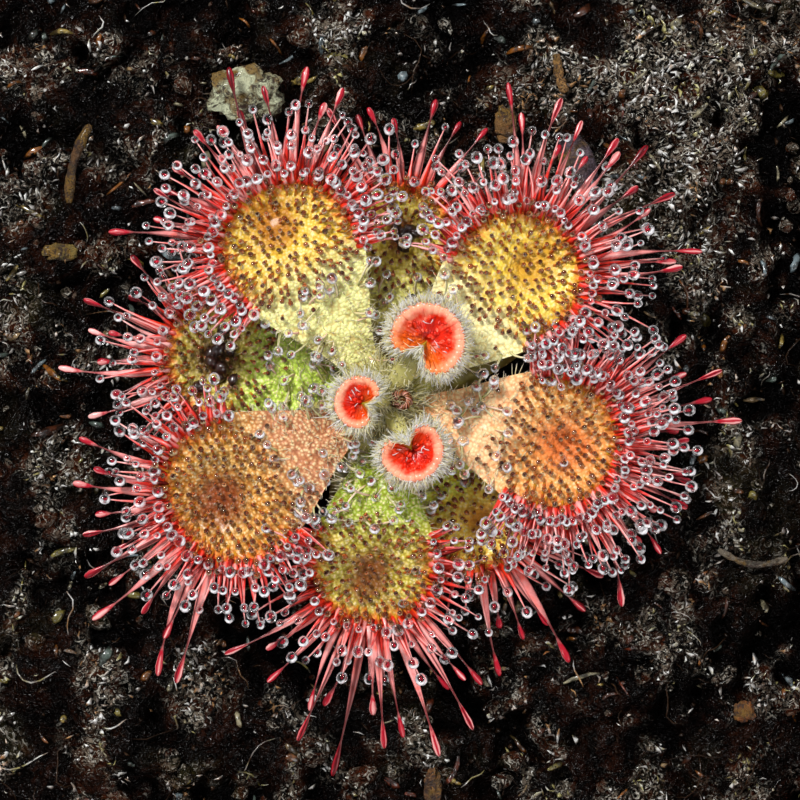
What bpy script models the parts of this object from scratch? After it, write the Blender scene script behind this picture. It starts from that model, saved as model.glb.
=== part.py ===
"""Potted sundew: a rosette of sticky leaves rooted in wet peat, in a plain round nursery pot.

Metres, +Z up. The origin is the middle of the pot's foot, on the surface that the pot stands on.
The plant is set out from its stem, which stands on the pot's axis. Its heights are above the peat.
"""

import math

import bmesh
import bpy
from mathutils import Matrix, Vector

MM = 0.001
GAP = 0.3 * MM  # kept between two pieces that touch

# The pot, an injection-moulded one with a stepped collar and a raised floor
RIM_RADIUS = 40 * MM
POT_HEIGHT = 68 * MM
FOOT_RADIUS = 28 * MM
WALL = 1.4 * MM
COLLAR_DEPTH = 12 * MM
COLLAR_TAPER = 0.5 * MM
RIM_BEAD = 0.7 * MM  # how far the bead round the rim stands out from the collar
BEAD_DEPTH = 2.2 * MM
STEP_IN = 1.6 * MM  # from the collar in to the body
FOOT_WIDTH = 2.6 * MM
FLOOR_RAISE = 2.0 * MM
DRAIN_RADIUS = 2.0 * MM
DRAIN_RING = 17 * MM
DRAIN_COUNT = 8
NOTCH_WIDTH = 5 * MM  # of the gaps in the foot that let water run out
NOTCH_HEIGHT = 1.2 * MM
POT_SEGMENTS = 48

# The peat
PEAT_TOP = 61 * MM
PEAT_RINGS = 14

# The stem and its roots
STEM_RADIUS = 1.3 * MM
STEM_TOP = 3.1 * MM
STEM_DEPTH = 7 * MM  # of its thick part, below the peat's surface
TAPROOT_END = 22 * MM
ROOT_RADIUS = 0.45 * MM
ROOT_POINTS = 12

# What every grown leaf shares. Lengths run from the stem's axis, shares from the leaf's foot to its tip.
LEAF_FOOT = STEM_RADIUS + GAP
LEAF_THICKNESS = 0.5 * MM
FOOT_SHARE = 0.22  # of the full width, at the foot
WIDEST_AT = 0.70
FLARE = 2.4
SHOULDER = 0.66  # where the sides end and the tip's arc begins, from the widest place to the tip
ROW_BOW = 2.5
DISH_AT = 0.74
DISH_LENGTH = 0.24
DISH_WIDTH = 0.80
ROWS_ALONG = 11
ROWS_ACROSS = 10
WIDEST_SNAP = 57  # degrees off the midrib: those further round lie over other leaves

# The stalk of a long marginal tentacle: (share of its length, width), from its flat foot to its paddle
SNAP_STALK = ((0.10, 0.50 * MM), (0.76, 0.20 * MM), (0.84, 0.40 * MM), (0.95, 0.42 * MM), (1.0, 0.18 * MM))
SOIL_CLEARANCE = 0.5 * MM

# name: azimuth, length, width, then the midrib's height at its foot, in its arch and at its tip, the dish's
# depth, and the long tentacles as (degrees from the midrib, length). Three older leaves lie under the others.
GROWN_LEAVES = {
    "leaf_north": (85, 12.5, 6.8, 1.1, 2.1, 1.5, 0.4, ((34, 5.2), (12, 4.4), (-8, 5.0), (-35, 4.8))),
    "leaf_north_west": (
        122, 14.2, 8.4, 2.6, 5.2, 2.9, 0.9,
        ((54, 6.1), (41, 4.2), (24, 4.0), (8, 4.6), (-9, 6.8), (-25, 5.2), (-38, 6.2), (-54, 5.4)),
    ),
    "leaf_west": (166, 13.0, 7.2, 1.1, 2.1, 1.5, 0.5, ((42, 4.8), (24, 5.8), (6, 4.4), (-10, 5.2), (-34, 4.4))),
    "leaf_south_west": (
        211, 14.0, 8.8, 2.6, 5.2, 2.6, 0.9,
        ((45, 7.2), (29, 7.2), (15, 6.8), (0, 5.8), (-15, 4.9), (-30, 5.0), (-48, 5.0)),
    ),
    "leaf_south": (
        266, 12.9, 7.4, 2.1, 4.4, 2.1, 0.7,
        ((48, 5.6), (36, 7.4), (24, 8.0), (8, 7.0), (-4, 8.8), (-18, 7.4), (-34, 5.4), (-52, 6.2)),
    ),
    "leaf_south_east": (309, 11.6, 7.0, 1.1, 2.1, 1.5, 0.4, ((22, 4.8), (-3, 6.8), (-18, 4.4), (-36, 6.0))),
    "leaf_east": (
        346, 13.8, 8.2, 2.6, 5.2, 2.7, 0.9,
        ((52, 5.6), (40, 6.4), (26, 6.8), (14, 3.8), (0, 4.4), (-14, 4.6), (-28, 4.8), (-46, 6.0)),
    ),
    "leaf_north_east": (
        43, 14.2, 8.0, 2.6, 5.2, 3.1, 0.9,
        ((48, 7.0), (36, 6.4), (24, 5.6), (12, 5.8), (-1, 6.6), (-13, 6.2), (-31, 6.6), (-46, 5.4)),
    ),
}

# name: how far out and which way its cup stands, the cup's radius, and its middle's height
YOUNG_LEAVES = {
    "young_leaf_large": (4.1, 54, 2.1, 5.9),
    "young_leaf_middling": (3.2, 299, 1.75, 5.7),
    "young_leaf_small": (1.3, 187, 1.45, 6.0),
}
CUP_WALL = 0.45 * MM
CUP_OPENING = 0.25  # how far above its middle the cup's mouth is, in radii
CUP_NOTCH = 1.1 * MM
YOUNG_STALK_RADIUS = 0.38 * MM
YOUNG_STALK_FOOT = 0.95 * MM  # from the stem's axis
BUD_RADIUS = 0.40 * MM
BUD_LENGTHENING = 1.5
BUD_PLACE = 1.0 * MM  # along X from the stem's axis, between the young leaves' stalks

# name: x, y, length, width, height and turn, in millimetres and degrees
LITTER = {
    "bark_chunk": (-8.1, 17.6, 5.0, 3.6, 1.3, 12),
    "bark_flake_olive": (-18.6, 8.5, 2.2, 1.1, 0.6, 12),
    "bark_flake_amber": (7.0, 15.9, 2.4, 1.3, 0.7, 80),
    "bark_flake_brown": (2.8, -22.4, 2.8, 1.0, 0.8, 100),
    "bark_flake_tan": (20.7, -17.9, 1.6, 1.1, 0.6, 40),
}
DEAD_LEAF = (11.1, 13.6, 3.3, 2.6, 108)
DEAD_LEAF_THICKNESS = 0.35 * MM
# name: first and last point, radius and how far the middle bows aside, in millimetres
TWIGS = {
    "twig_brown": ((-16.9, 15.8), (-18.1, 11.3), 0.32, 0.35),
    "straw_piece": ((9.9, 19.9), (10.4, 17.7), 0.30, 0.10),
    "root_fibre": ((19.2, -8.6), (23.2, -9.1), 0.22, 0.60),
}
TWIG_POINTS = 7


# ---------------------------------------------------------------- scene and materials


def clear_scene():
    for obj in list(bpy.data.objects):
        bpy.data.objects.remove(obj)


def new_collection(name):
    collection = bpy.data.collections.new(name)
    bpy.context.scene.collection.children.link(collection)
    return collection


def material(name, colour, roughness):
    made = bpy.data.materials.new(name)
    made.use_nodes = True
    shader = made.node_tree.nodes["Principled BSDF"]
    shader.inputs["Base Color"].default_value = (*colour, 1)
    shader.inputs["Roughness"].default_value = roughness
    shader.inputs["Metallic"].default_value = 0
    return made


clear_scene()
PARTS = new_collection("potted_sundew")
CUTTERS = new_collection("cutters")
CUTTERS.hide_render = True

POT_PLASTIC = material("terracotta_plastic", (0.36, 0.13, 0.07), 0.5)
PEAT = material("wet_peat", (0.016, 0.012, 0.009), 0.6)
STEM_SKIN = material("stem_skin", (0.20, 0.26, 0.07), 0.5)
ROOT_SKIN = material("root_skin", (0.05, 0.03, 0.02), 0.7)
LEAF_BLADE = material("leaf_blade", (0.55, 0.52, 0.06), 0.4)
TENTACLE_RED = material("tentacle_red", (0.60, 0.03, 0.03), 0.35)
YOUNG_LEAF_RED = material("young_leaf_red", (0.72, 0.06, 0.03), 0.4)
BARK = material("bark", (0.16, 0.11, 0.05), 0.7)
DEAD_LEAF_SKIN = material("dead_leaf_skin", (0.06, 0.035, 0.045), 0.6)
STRAW = material("straw", (0.40, 0.26, 0.11), 0.6)


# ---------------------------------------------------------------- modelling helpers


def new_object(name, data, *skins, collection=PARTS):
    obj = bpy.data.objects.new(name, data)
    collection.objects.link(obj)
    for skin in skins:
        data.materials.append(skin)
    return obj


def from_bmesh(name, shape, *skins, collection=PARTS):
    mesh = bpy.data.meshes.new(name)
    shape.to_mesh(mesh)
    shape.free()
    return new_object(name, mesh, *skins, collection=collection)


def evaluated_mesh(obj):
    """The object's mesh with its modifiers, or its curve's mesh with the loose caps joined on."""
    graph = bpy.context.evaluated_depsgraph_get()
    mesh = bpy.data.meshes.new_from_object(obj.evaluated_get(graph))
    shape = bmesh.new()
    shape.from_mesh(mesh)
    bmesh.ops.remove_doubles(shape, verts=shape.verts, dist=1e-6)
    bmesh.ops.recalc_face_normals(shape, faces=shape.faces)
    shape.to_mesh(mesh)
    shape.free()
    return mesh


def settle(obj):
    """Replaces the object's data with its evaluated mesh, so that its points can be moved or cut."""
    if obj.type == "CURVE":
        made = new_object(obj.name + "_mesh", evaluated_mesh(obj), collection=obj.users_collection[0])
        made.matrix_world = obj.matrix_world
        name = obj.name
        bpy.data.objects.remove(obj)
        made.name = name
        return made
    obj.data = evaluated_mesh(obj)
    obj.modifiers.clear()
    return obj


def turned(name, profile, *skins, collection=PARTS, segments=POT_SEGMENTS, closed=False):
    """A profile of (radius, height) pairs, running down the outer side, turned about Z. Its ends meet if closed."""
    shape = bmesh.new()
    points = [shape.verts.new((radius, 0, height)) for radius, height in profile]
    for first, second in zip(points, points[1:] + points[:1] * closed):
        if first.co.x > 0 or second.co.x > 0:
            shape.edges.new((first, second))
    obj = from_bmesh(name, shape, *skins, collection=collection)
    screw = obj.modifiers.new("turn", "SCREW")
    screw.steps = screw.render_steps = segments
    screw.use_merge_vertices = True
    screw.merge_threshold = 1e-6
    return obj


def tube(name, points, radius, *skins, collection=PARTS):
    curve = bpy.data.curves.new(name, "CURVE")
    curve.dimensions = "3D"
    curve.bevel_depth = radius
    curve.bevel_resolution = 1
    curve.use_fill_caps = True
    spline = curve.splines.new("POLY")
    spline.points.add(len(points) - 1)
    for place, point in zip(spline.points, points):
        place.co = (*point, 1)
    return new_object(name, curve, *skins, collection=collection)


def boolean(obj, other, operation):
    other.hide_render = True
    other.display_type = "WIRE"
    step = obj.modifiers.new(other.name, "BOOLEAN")
    step.operation = operation
    step.object = other


def smooth(obj, degrees=40):
    obj.data.shade_smooth()
    obj.data.set_sharp_from_angle(angle=math.radians(degrees))


def polar(radius, azimuth, height=0.0):
    angle = math.radians(azimuth)
    return Vector((radius * math.cos(angle), radius * math.sin(angle), height))


def soil_swell(x, y):
    """How far the peat's surface stands above its mean level: three long, low waves."""
    across, along = x / MM, y / MM
    swell = 0.40 * math.sin(across / 5.3 + 0.6) * math.cos(along / 6.1 - 0.4)
    swell += 0.22 * math.sin((across + along) / 4.6 + 1.7)
    swell += 0.16 * math.cos((across - 1.4 * along) / 5.2)
    return swell * MM


# ---------------------------------------------------------------- pot


def body_radius(height):
    """The outer radius of the pot's body below its collar."""
    collar_foot = RIM_RADIUS - RIM_BEAD - COLLAR_TAPER
    top = POT_HEIGHT - COLLAR_DEPTH
    return FOOT_RADIUS + (collar_foot - STEP_IN - FOOT_RADIUS) * height / top


def inner_wall(clearance=0.0):
    """The pot's inner side as (radius, height), from the rim down to the floor, moved in by a clearance."""
    collar = RIM_RADIUS - RIM_BEAD - WALL
    step = POT_HEIGHT - COLLAR_DEPTH + WALL
    floor = FLOOR_RAISE + WALL
    corner = 1.2 * MM
    return [
        (collar - clearance, POT_HEIGHT - 0.6 * MM),
        (collar - COLLAR_TAPER - clearance, step + 0.4 * MM + clearance),
        (body_radius(step) - WALL - clearance, step + clearance),
        (body_radius(floor + corner) - WALL - clearance, floor + corner),
        (body_radius(floor) - WALL - corner - clearance, floor + clearance),
    ]


def pot_profile():
    collar = RIM_RADIUS - RIM_BEAD
    bead_foot = POT_HEIGHT - BEAD_DEPTH
    collar_foot = POT_HEIGHT - COLLAR_DEPTH
    foot_inside = FOOT_RADIUS - FOOT_WIDTH
    outside = [
        (RIM_RADIUS - 0.5 * MM, POT_HEIGHT),
        (RIM_RADIUS, POT_HEIGHT - 0.5 * MM),
        (RIM_RADIUS, bead_foot + 0.5 * MM),
        (collar, bead_foot),
        (collar - COLLAR_TAPER, collar_foot + 0.5 * MM),
        (collar - COLLAR_TAPER - 0.5 * MM, collar_foot),
        (body_radius(collar_foot), collar_foot - 0.4 * MM),
        (body_radius(0.8 * MM), 0.8 * MM),
        (FOOT_RADIUS - 0.6 * MM, 0),
        (foot_inside, 0),
        (foot_inside - 0.4 * MM, FLOOR_RAISE),
        (0, FLOOR_RAISE),
        (0, FLOOR_RAISE + WALL),
    ]
    return outside + inner_wall()[::-1] + [(RIM_RADIUS - RIM_BEAD - WALL + 0.5 * MM, POT_HEIGHT)]


def drain_cutter(name, place):
    shape = bmesh.new()
    bmesh.ops.create_cone(
        shape, cap_ends=True, segments=16, radius1=DRAIN_RADIUS, radius2=DRAIN_RADIUS, depth=3 * FLOOR_RAISE
    )
    cutter = from_bmesh(name, shape, collection=CUTTERS)
    cutter.location = place + Vector((0, 0, FLOOR_RAISE + WALL / 2))
    return cutter


def make_pot():
    pot = settle(turned("pot", pot_profile(), POT_PLASTIC, closed=True))
    boolean(pot, drain_cutter("drain_middle", Vector()), "DIFFERENCE")
    for index in range(DRAIN_COUNT):
        place = polar(DRAIN_RING, 360 * (index + 0.5) / DRAIN_COUNT)
        boolean(pot, drain_cutter(f"drain_{index + 1}", place), "DIFFERENCE")
    for name, turn in (("notch_x", 0), ("notch_y", 90)):
        shape = bmesh.new()
        bmesh.ops.create_cube(shape, size=1)
        notch = from_bmesh(name, shape, collection=CUTTERS)
        notch.scale = (3 * FOOT_RADIUS, NOTCH_WIDTH, 2 * NOTCH_HEIGHT)
        notch.rotation_euler.z = math.radians(turn)
        boolean(pot, notch, "DIFFERENCE")
    smooth(pot)


# ---------------------------------------------------------------- stem and roots


def stem_profile(clearance=0.0):
    """The stem's side as (radius, height) from its domed top down to the end of its taproot."""
    top = PEAT_TOP + STEM_TOP + clearance
    return [
        (0, top),
        (0.75 * STEM_RADIUS + clearance, top - 0.25 * STEM_RADIUS),
        (STEM_RADIUS + clearance, top - 0.8 * STEM_RADIUS),
        (0.85 * STEM_RADIUS + clearance, PEAT_TOP - STEM_DEPTH / 2),
        (0.5 * STEM_RADIUS + clearance, PEAT_TOP - STEM_DEPTH),
        (0.2 * STEM_RADIUS + clearance, PEAT_TOP - TAPROOT_END),
        (0, PEAT_TOP - TAPROOT_END - clearance),
    ]


def root_route(azimuth, start_depth, reach, end_depth):
    """A side root: straight out of the stem, then sweeping down, with a slight wander from side to side."""
    start = 0.6 * STEM_RADIUS + ROOT_RADIUS + GAP
    route = []
    for index in range(ROOT_POINTS):
        share = index / (ROOT_POINTS - 1)
        wander = 7 * math.sin(2 * math.pi * share)
        radius = start + (reach - start) * math.sin(0.5 * math.pi * share)
        depth = start_depth + (end_depth - start_depth) * share**1.6
        route.append(polar(radius, azimuth + wander, PEAT_TOP - depth))
    return route


ROOT_ROUTES = {
    "root_1": root_route(20, 4.5 * MM, 13 * MM, 26 * MM),
    "root_2": root_route(140, 5.5 * MM, 11 * MM, 30 * MM),
    "root_3": root_route(262, 5.0 * MM, 14 * MM, 23 * MM),
}


def make_stem_and_roots():
    smooth(settle(turned("stem", stem_profile(), STEM_SKIN, segments=12)))
    for name, route in ROOT_ROUTES.items():
        tube(name, route, ROOT_RADIUS, ROOT_SKIN)


# ---------------------------------------------------------------- peat


def peat_profile():
    wall = inner_wall(GAP)
    (_, rim), (shoulder_radius, shoulder) = wall[0], wall[1]
    lean = (wall[0][0] - shoulder_radius) / (rim - shoulder)
    edge = shoulder_radius + lean * (PEAT_TOP - shoulder)
    surface = [(edge * ring / PEAT_RINGS, PEAT_TOP) for ring in range(PEAT_RINGS)]
    return surface + [(edge, PEAT_TOP - 0.4 * MM)] + wall[1:] + [(0, wall[-1][1])]


def make_peat():
    peat = settle(turned("peat", peat_profile(), PEAT))
    for vert in peat.data.vertices:
        if vert.co.z > PEAT_TOP - 0.1 * MM:
            vert.co.z += soil_swell(vert.co.x, vert.co.y)
    socket = settle(turned("stem_socket", stem_profile(GAP), segments=12, collection=CUTTERS))
    boolean(peat, socket, "DIFFERENCE")
    for name, route in ROOT_ROUTES.items():
        first = route[0] - (route[1] - route[0])
        last = route[-1] + (route[-1] - route[-2]).normalized() * GAP
        burrow = tube(f"burrow_{name}", [first, *route[:-1], last], ROOT_RADIUS + GAP, collection=CUTTERS)
        boolean(peat, settle(burrow), "DIFFERENCE")
    smooth(peat, 60)


# ---------------------------------------------------------------- grown leaves


def half_width(share, width):
    """Half the leaf's width: a narrow foot that flares like a wedge, then half an ellipse round the tip."""
    flare = math.sin(0.5 * math.pi * min(share / WIDEST_AT, 1)) ** FLARE
    cap = math.sqrt(1 - max(0, (share - WIDEST_AT) / (1 - WIDEST_AT)) ** 2)
    return 0.5 * width * (FOOT_SHARE + (1 - FOOT_SHARE) * flare) * cap


def leaf_point(leaf, u, v):
    """A point of the leaf's upper face. u runs from foot to tip and v from -1 to 1 across. Rows bow forward."""
    _, length, width, foot, arch, tip, dish, _ = leaf
    length, width = length * MM, width * MM
    shoulder = WIDEST_AT + SHOULDER * (1 - WIDEST_AT)
    side, middle = shoulder * u, u
    share = side + (middle - side) * (1 - abs(v) ** ROW_BOW)
    y = v * half_width(side, width)
    midrib = foot * (1 - share) ** 2 + 2 * arch * share * (1 - share) + tip * share**2
    hollow = 1 - ((share - DISH_AT) / DISH_LENGTH) ** 2 - (2 * y / width / DISH_WIDTH) ** 2
    height = midrib - dish * max(0, hollow) ** 2
    return Vector((LEAF_FOOT + (length - LEAF_FOOT) * share, y, height * MM))


def leaf_plate(leaf):
    """The blade and its stalk: a grid laid on the leaf's surface, thickened downwards."""
    shape = bmesh.new()
    bmesh.ops.create_grid(shape, x_segments=ROWS_ALONG, y_segments=ROWS_ACROSS, size=1)
    for vert in shape.verts:
        vert.co = leaf_point(leaf, (vert.co.x + 1) / 2, vert.co.y)
    plate = from_bmesh("plate", shape, LEAF_BLADE, TENTACLE_RED)
    solidify = plate.modifiers.new("thickness", "SOLIDIFY")
    solidify.thickness = LEAF_THICKNESS
    solidify.offset = -1
    solidify.material_offset_rim = 1
    return settle(plate)


def grow_tentacle(shape, face, heading, length, floor):
    """Draws one face of the leaf's edge out into a stalk that thins, then widens into a paddle."""
    foot = face.calc_center_median()
    lift = 0.10 * length
    for share, width in SNAP_STALK:
        face = bmesh.ops.extrude_discrete_faces(shape, faces=[face])["faces"][0]
        centre = foot + heading * (length * share)
        centre.z = max(foot.z + lift * math.sin(math.pi * share), floor(centre) + SOIL_CLEARANCE)
        middle = face.calc_center_median()
        for vert in face.verts:
            vert.co = centre + (vert.co - middle).normalized() * width / math.sqrt(2)


def grow_tentacles(shape, leaf):
    azimuth, length, snaps = leaf[0], leaf[1] * MM, leaf[7]
    middle = Vector((LEAF_FOOT + (length - LEAF_FOOT) * WIDEST_AT, 0, 0))
    turn = Matrix.Rotation(math.radians(azimuth), 3, "Z")

    def floor(point):
        place = turn @ point
        return soil_swell(place.x, place.y)

    def bearing(face):
        arm = face.calc_center_median() - middle
        return math.degrees(math.atan2(arm.y, arm.x))

    edge = [face for face in shape.faces if face.material_index == 1]
    for angle, reach in snaps:
        if abs(angle) > WIDEST_SNAP:
            continue
        face = min(edge, key=lambda candidate: abs(bearing(candidate) - angle))
        edge.remove(face)
        grow_tentacle(shape, face, polar(1, angle), reach * MM, floor)


def make_grown_leaves():
    for name, leaf in GROWN_LEAVES.items():
        plate = leaf_plate(leaf)
        shape = bmesh.new()
        shape.from_mesh(plate.data)
        grow_tentacles(shape, leaf)
        shape.to_mesh(plate.data)
        shape.free()
        plate.name = name
        plate.location.z = PEAT_TOP
        plate.rotation_euler.z = math.radians(leaf[0])
        smooth(plate)


# ---------------------------------------------------------------- young leaves and bud


def rounded_lump(radius, segments=14, rings=9):
    shape = bmesh.new()
    bmesh.ops.create_uvsphere(shape, u_segments=segments, v_segments=rings, radius=radius)
    return shape


def cup(name, radius, centre):
    """A ball cut off above its middle and hollowed: the blade of a leaf that is still rolled in."""
    shape = rounded_lump(radius)
    everything = shape.verts[:] + shape.edges[:] + shape.faces[:]
    mouth = (0, 0, CUP_OPENING * radius)
    bmesh.ops.bisect_plane(shape, geom=everything, plane_co=mouth, plane_no=(0, 0, 1), clear_outer=True)
    bowl = from_bmesh(name, shape, YOUNG_LEAF_RED)
    bowl.location = centre
    solidify = bowl.modifiers.new("wall", "SOLIDIFY")
    solidify.thickness = CUP_WALL
    solidify.offset = -1
    return bowl


def rod(name, start, end, radius):
    shape = bmesh.new()
    way = end - start
    place = Matrix.Translation((start + end) / 2) @ way.to_track_quat("Z", "Y").to_matrix().to_4x4()
    bmesh.ops.create_cone(
        shape, cap_ends=True, segments=10, radius1=radius, radius2=0.8 * radius, depth=way.length, matrix=place
    )
    return from_bmesh(name, shape, collection=CUTTERS)


def make_young_leaves():
    for name, (out, azimuth, radius, height) in YOUNG_LEAVES.items():
        radius = radius * MM
        centre = polar(out * MM, azimuth, PEAT_TOP + height * MM)
        bowl = cup(name, radius, centre)
        mouth = bmesh.new()
        bmesh.ops.create_cube(mouth, size=1)
        notch = from_bmesh(f"notch_{name}", mouth, collection=CUTTERS)
        notch.scale = (2 * radius, CUP_NOTCH, 2 * radius)
        notch.rotation_euler.z = math.radians(azimuth)
        notch.location = centre + polar(-radius, azimuth, 0.55 * radius)
        boolean(bowl, notch, "DIFFERENCE")
        foot = polar(YOUNG_STALK_FOOT, azimuth, PEAT_TOP + STEM_TOP + GAP + 0.15 * MM)
        seat = centre + polar(-0.45 * radius, azimuth, -0.80 * radius)
        boolean(bowl, rod(f"stalk_{name}", foot, seat, YOUNG_STALK_RADIUS), "UNION")
        smooth(bowl)
    bud = from_bmesh("leaf_bud", rounded_lump(BUD_RADIUS, 10, 7), YOUNG_LEAF_RED)
    bud.scale.z = BUD_LENGTHENING
    bud.location = (BUD_PLACE, 0, PEAT_TOP + STEM_TOP + GAP + BUD_LENGTHENING * BUD_RADIUS)
    smooth(bud)


# ---------------------------------------------------------------- litter on the peat


def seat_height(x, y, reach):
    """The height at which a piece of that reach lies just clear of the peat."""
    spots = [(x, y)] + [(x + reach * math.cos(a), y + reach * math.sin(a)) for a in range(6)]
    return PEAT_TOP + GAP + max(soil_swell(*spot) for spot in spots)


def make_bark():
    """Chips of bark: balls pressed flat and dented by a few waves."""
    for name, (x, y, length, width, height, turn) in LITTER.items():
        shape = bmesh.new()
        bmesh.ops.create_icosphere(shape, subdivisions=2, radius=0.5)
        for vert in shape.verts:
            dent = 1 + 0.12 * math.sin(9 * vert.co.x + 2) * math.cos(7 * vert.co.y + length)
            vert.co = Vector((vert.co.x * dent * length, vert.co.y * dent * width, vert.co.z * height)) * MM
        chip = from_bmesh(name, shape, BARK)
        seat = seat_height(x * MM, y * MM, length / 2 * MM)
        chip.location = (x * MM, y * MM, seat + height / 2 * MM)
        chip.rotation_euler.z = math.radians(turn)


def make_dead_leaf():
    x, y, length, width, turn = DEAD_LEAF
    shape = bmesh.new()
    bmesh.ops.create_grid(shape, x_segments=6, y_segments=4, size=0.5)
    for vert in shape.verts:
        along, across = vert.co.x, vert.co.y
        taper = 1 - 2.6 * along**2
        curl = 0.9 * across**2 + 0.35 * along**2
        vert.co = Vector((along * length, across * taper * width, curl)) * MM
    flake = from_bmesh("dead_leaf", shape, DEAD_LEAF_SKIN)
    flake.location = (x * MM, y * MM, seat_height(x * MM, y * MM, length / 2 * MM) + 0.1 * MM)
    flake.rotation_euler.z = math.radians(turn)
    solidify = flake.modifiers.new("thickness", "SOLIDIFY")
    solidify.thickness = DEAD_LEAF_THICKNESS
    solidify.offset = 1


def make_twigs():
    for name, (first, last, radius, bow) in TWIGS.items():
        start, end = Vector((*first, 0)) * MM, Vector((*last, 0)) * MM
        aside = (end - start).cross(Vector((0, 0, 1))).normalized() * bow * MM
        points = []
        for index in range(TWIG_POINTS):
            share = index / (TWIG_POINTS - 1)
            point = start.lerp(end, share) + aside * math.sin(math.pi * share)
            point.z = seat_height(point.x, point.y, 1 * MM) + radius * MM
            points.append(point)
        tube(name, points, radius * MM, STRAW)


make_pot()
make_stem_and_roots()
make_peat()
make_grown_leaves()
make_young_leaves()
make_bark()
make_dead_leaf()
make_twigs()
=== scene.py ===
"""The potted sundew's looks, laid over its CAD frame. Metres, +Z up, and every piece rides on the one body.

The sections follow the object as it is put together: pot, peat with its loose bits, stem and roots, grown
leaves, old stalks, tentacles with their dew, prey remains, young leaves, litter. Each shape is a formula on
whole arrays of points.
"""

import math

import bpy
import numpy as np
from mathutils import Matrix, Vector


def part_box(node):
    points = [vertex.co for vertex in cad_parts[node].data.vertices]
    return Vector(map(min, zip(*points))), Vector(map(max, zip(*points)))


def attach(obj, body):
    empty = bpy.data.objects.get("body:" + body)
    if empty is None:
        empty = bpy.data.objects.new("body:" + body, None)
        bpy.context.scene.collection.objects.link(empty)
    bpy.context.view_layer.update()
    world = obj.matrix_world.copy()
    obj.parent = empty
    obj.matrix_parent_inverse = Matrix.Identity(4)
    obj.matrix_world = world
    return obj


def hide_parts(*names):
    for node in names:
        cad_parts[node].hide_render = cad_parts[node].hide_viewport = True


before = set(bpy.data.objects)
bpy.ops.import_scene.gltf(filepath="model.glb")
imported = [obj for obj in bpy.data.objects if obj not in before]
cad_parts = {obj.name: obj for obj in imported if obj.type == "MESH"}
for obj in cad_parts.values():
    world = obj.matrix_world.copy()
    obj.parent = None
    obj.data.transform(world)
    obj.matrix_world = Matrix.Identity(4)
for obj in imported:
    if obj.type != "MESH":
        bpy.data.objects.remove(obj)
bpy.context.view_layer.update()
mm = 0.001


# ---------------------------------------------------------------- studio

# A pale card table under soft light, seen from straight above the crown by a long lens. The key lamp stands
# to the north-west and a broad, weaker one to the south-east, the room fills in from all round, and two small
# lamps put glints on whatever is wet.
TABLE_COLOUR = "#E9E6E1"
BACKDROP_COLOUR = "#F0EFED"
ROOM_AT_ZENITH, ROOM_AT_WALLS = 0.12, 0.48  # how bright the room is straight overhead and lower down
CAMERA_PLACE = (0.9 * mm, 0.0, 261 * mm)
CAMERA_LENS = 156
HALF_TABLE = 1.5  # metres
# name: place, how wide the disc of light is, and its power in watts
LAMPS = {
    "key_softbox": ((-150 * mm, 190 * mm, 330 * mm), 90 * mm, 1.40),
    "fill_softbox": ((240 * mm, -170 * mm, 260 * mm), 220 * mm, 0.36),
    "glint_lamp_east": ((150 * mm, 130 * mm, 330 * mm), 34 * mm, 0.10),
    "glint_lamp_south": ((-100 * mm, -170 * mm, 320 * mm), 34 * mm, 0.10),
}


def linear(colour):
    """An sRGB hex colour as linear red, green, blue and alpha."""
    srgb = np.array([int(colour[start : start + 2], 16) for start in (1, 3, 5)]) / 255
    value = np.where(srgb <= 0.04045, srgb / 12.92, ((srgb + 0.055) / 1.055) ** 2.4)
    return (*value.tolist(), 1.0)


def add(tree, kind, inputs=None, **settings):
    """Adds a shader node. Inputs are sockets' values, or the sockets that feed them; settings are its own."""
    made = tree.nodes.new("ShaderNode" + kind)
    for name, value in settings.items():
        setattr(made, name, value)
    for name, value in (inputs or {}).items():
        if isinstance(value, bpy.types.NodeSocket):
            tree.links.new(value, made.inputs[name])
        else:
            made.inputs[name].default_value = value
    return made


def new_material(name):
    material = bpy.data.materials.new(name)
    material.use_nodes = True
    material.node_tree.nodes.clear()
    return material, material.node_tree


def place_in_scene(name, data):
    placed = bpy.data.objects.new(name, data)
    bpy.context.scene.collection.objects.link(placed)
    return placed


bpy.context.scene.view_settings.view_transform = "Standard"
camera = place_in_scene("camera", bpy.data.cameras.new("camera"))
camera.location = CAMERA_PLACE
camera.data.lens = CAMERA_LENS
camera.data.clip_start = 10 * mm
bpy.context.scene.camera = camera

for lamp_name, (lamp_place, lamp_size, lamp_power) in LAMPS.items():
    lamp = place_in_scene(lamp_name, bpy.data.lights.new(lamp_name, "AREA"))
    lamp.location = lamp_place
    lamp.data.shape = "DISK"
    lamp.data.size = lamp_size
    lamp.data.energy = lamp_power
    lamp.rotation_euler = lamp.location.to_track_quat("Z", "Y").to_euler()

# The backdrop's colour is what the camera sees past the table. The light that it gives is set apart from it.
world = bpy.data.worlds.new("soft_room")
world.use_nodes = True
bpy.context.scene.world = world
world.node_tree.nodes.clear()
seen = add(world.node_tree, "LightPath")
steepness = add(world.node_tree, "SeparateXYZ", {0: add(world.node_tree, "TexCoord").outputs["Generated"]})
room_glow = add(
    world.node_tree,
    "MapRange",
    {0: steepness.outputs["Z"], 1: 0.55, 2: 0.97, 3: ROOM_AT_WALLS, 4: ROOM_AT_ZENITH},
    interpolation_type="SMOOTHSTEP",
)
room_light = add(
    world.node_tree, "Background", {"Color": linear("#F4F6FA"), "Strength": room_glow.outputs[0]}
)
backdrop = add(world.node_tree, "Background", {"Color": linear(BACKDROP_COLOUR), "Strength": 1.0})
room = add(
    world.node_tree,
    "MixShader",
    {"Fac": seen.outputs["Is Camera Ray"], 1: room_light.outputs[0], 2: backdrop.outputs[0]},
)
add(world.node_tree, "OutputWorld", {"Surface": room.outputs[0]})

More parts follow.
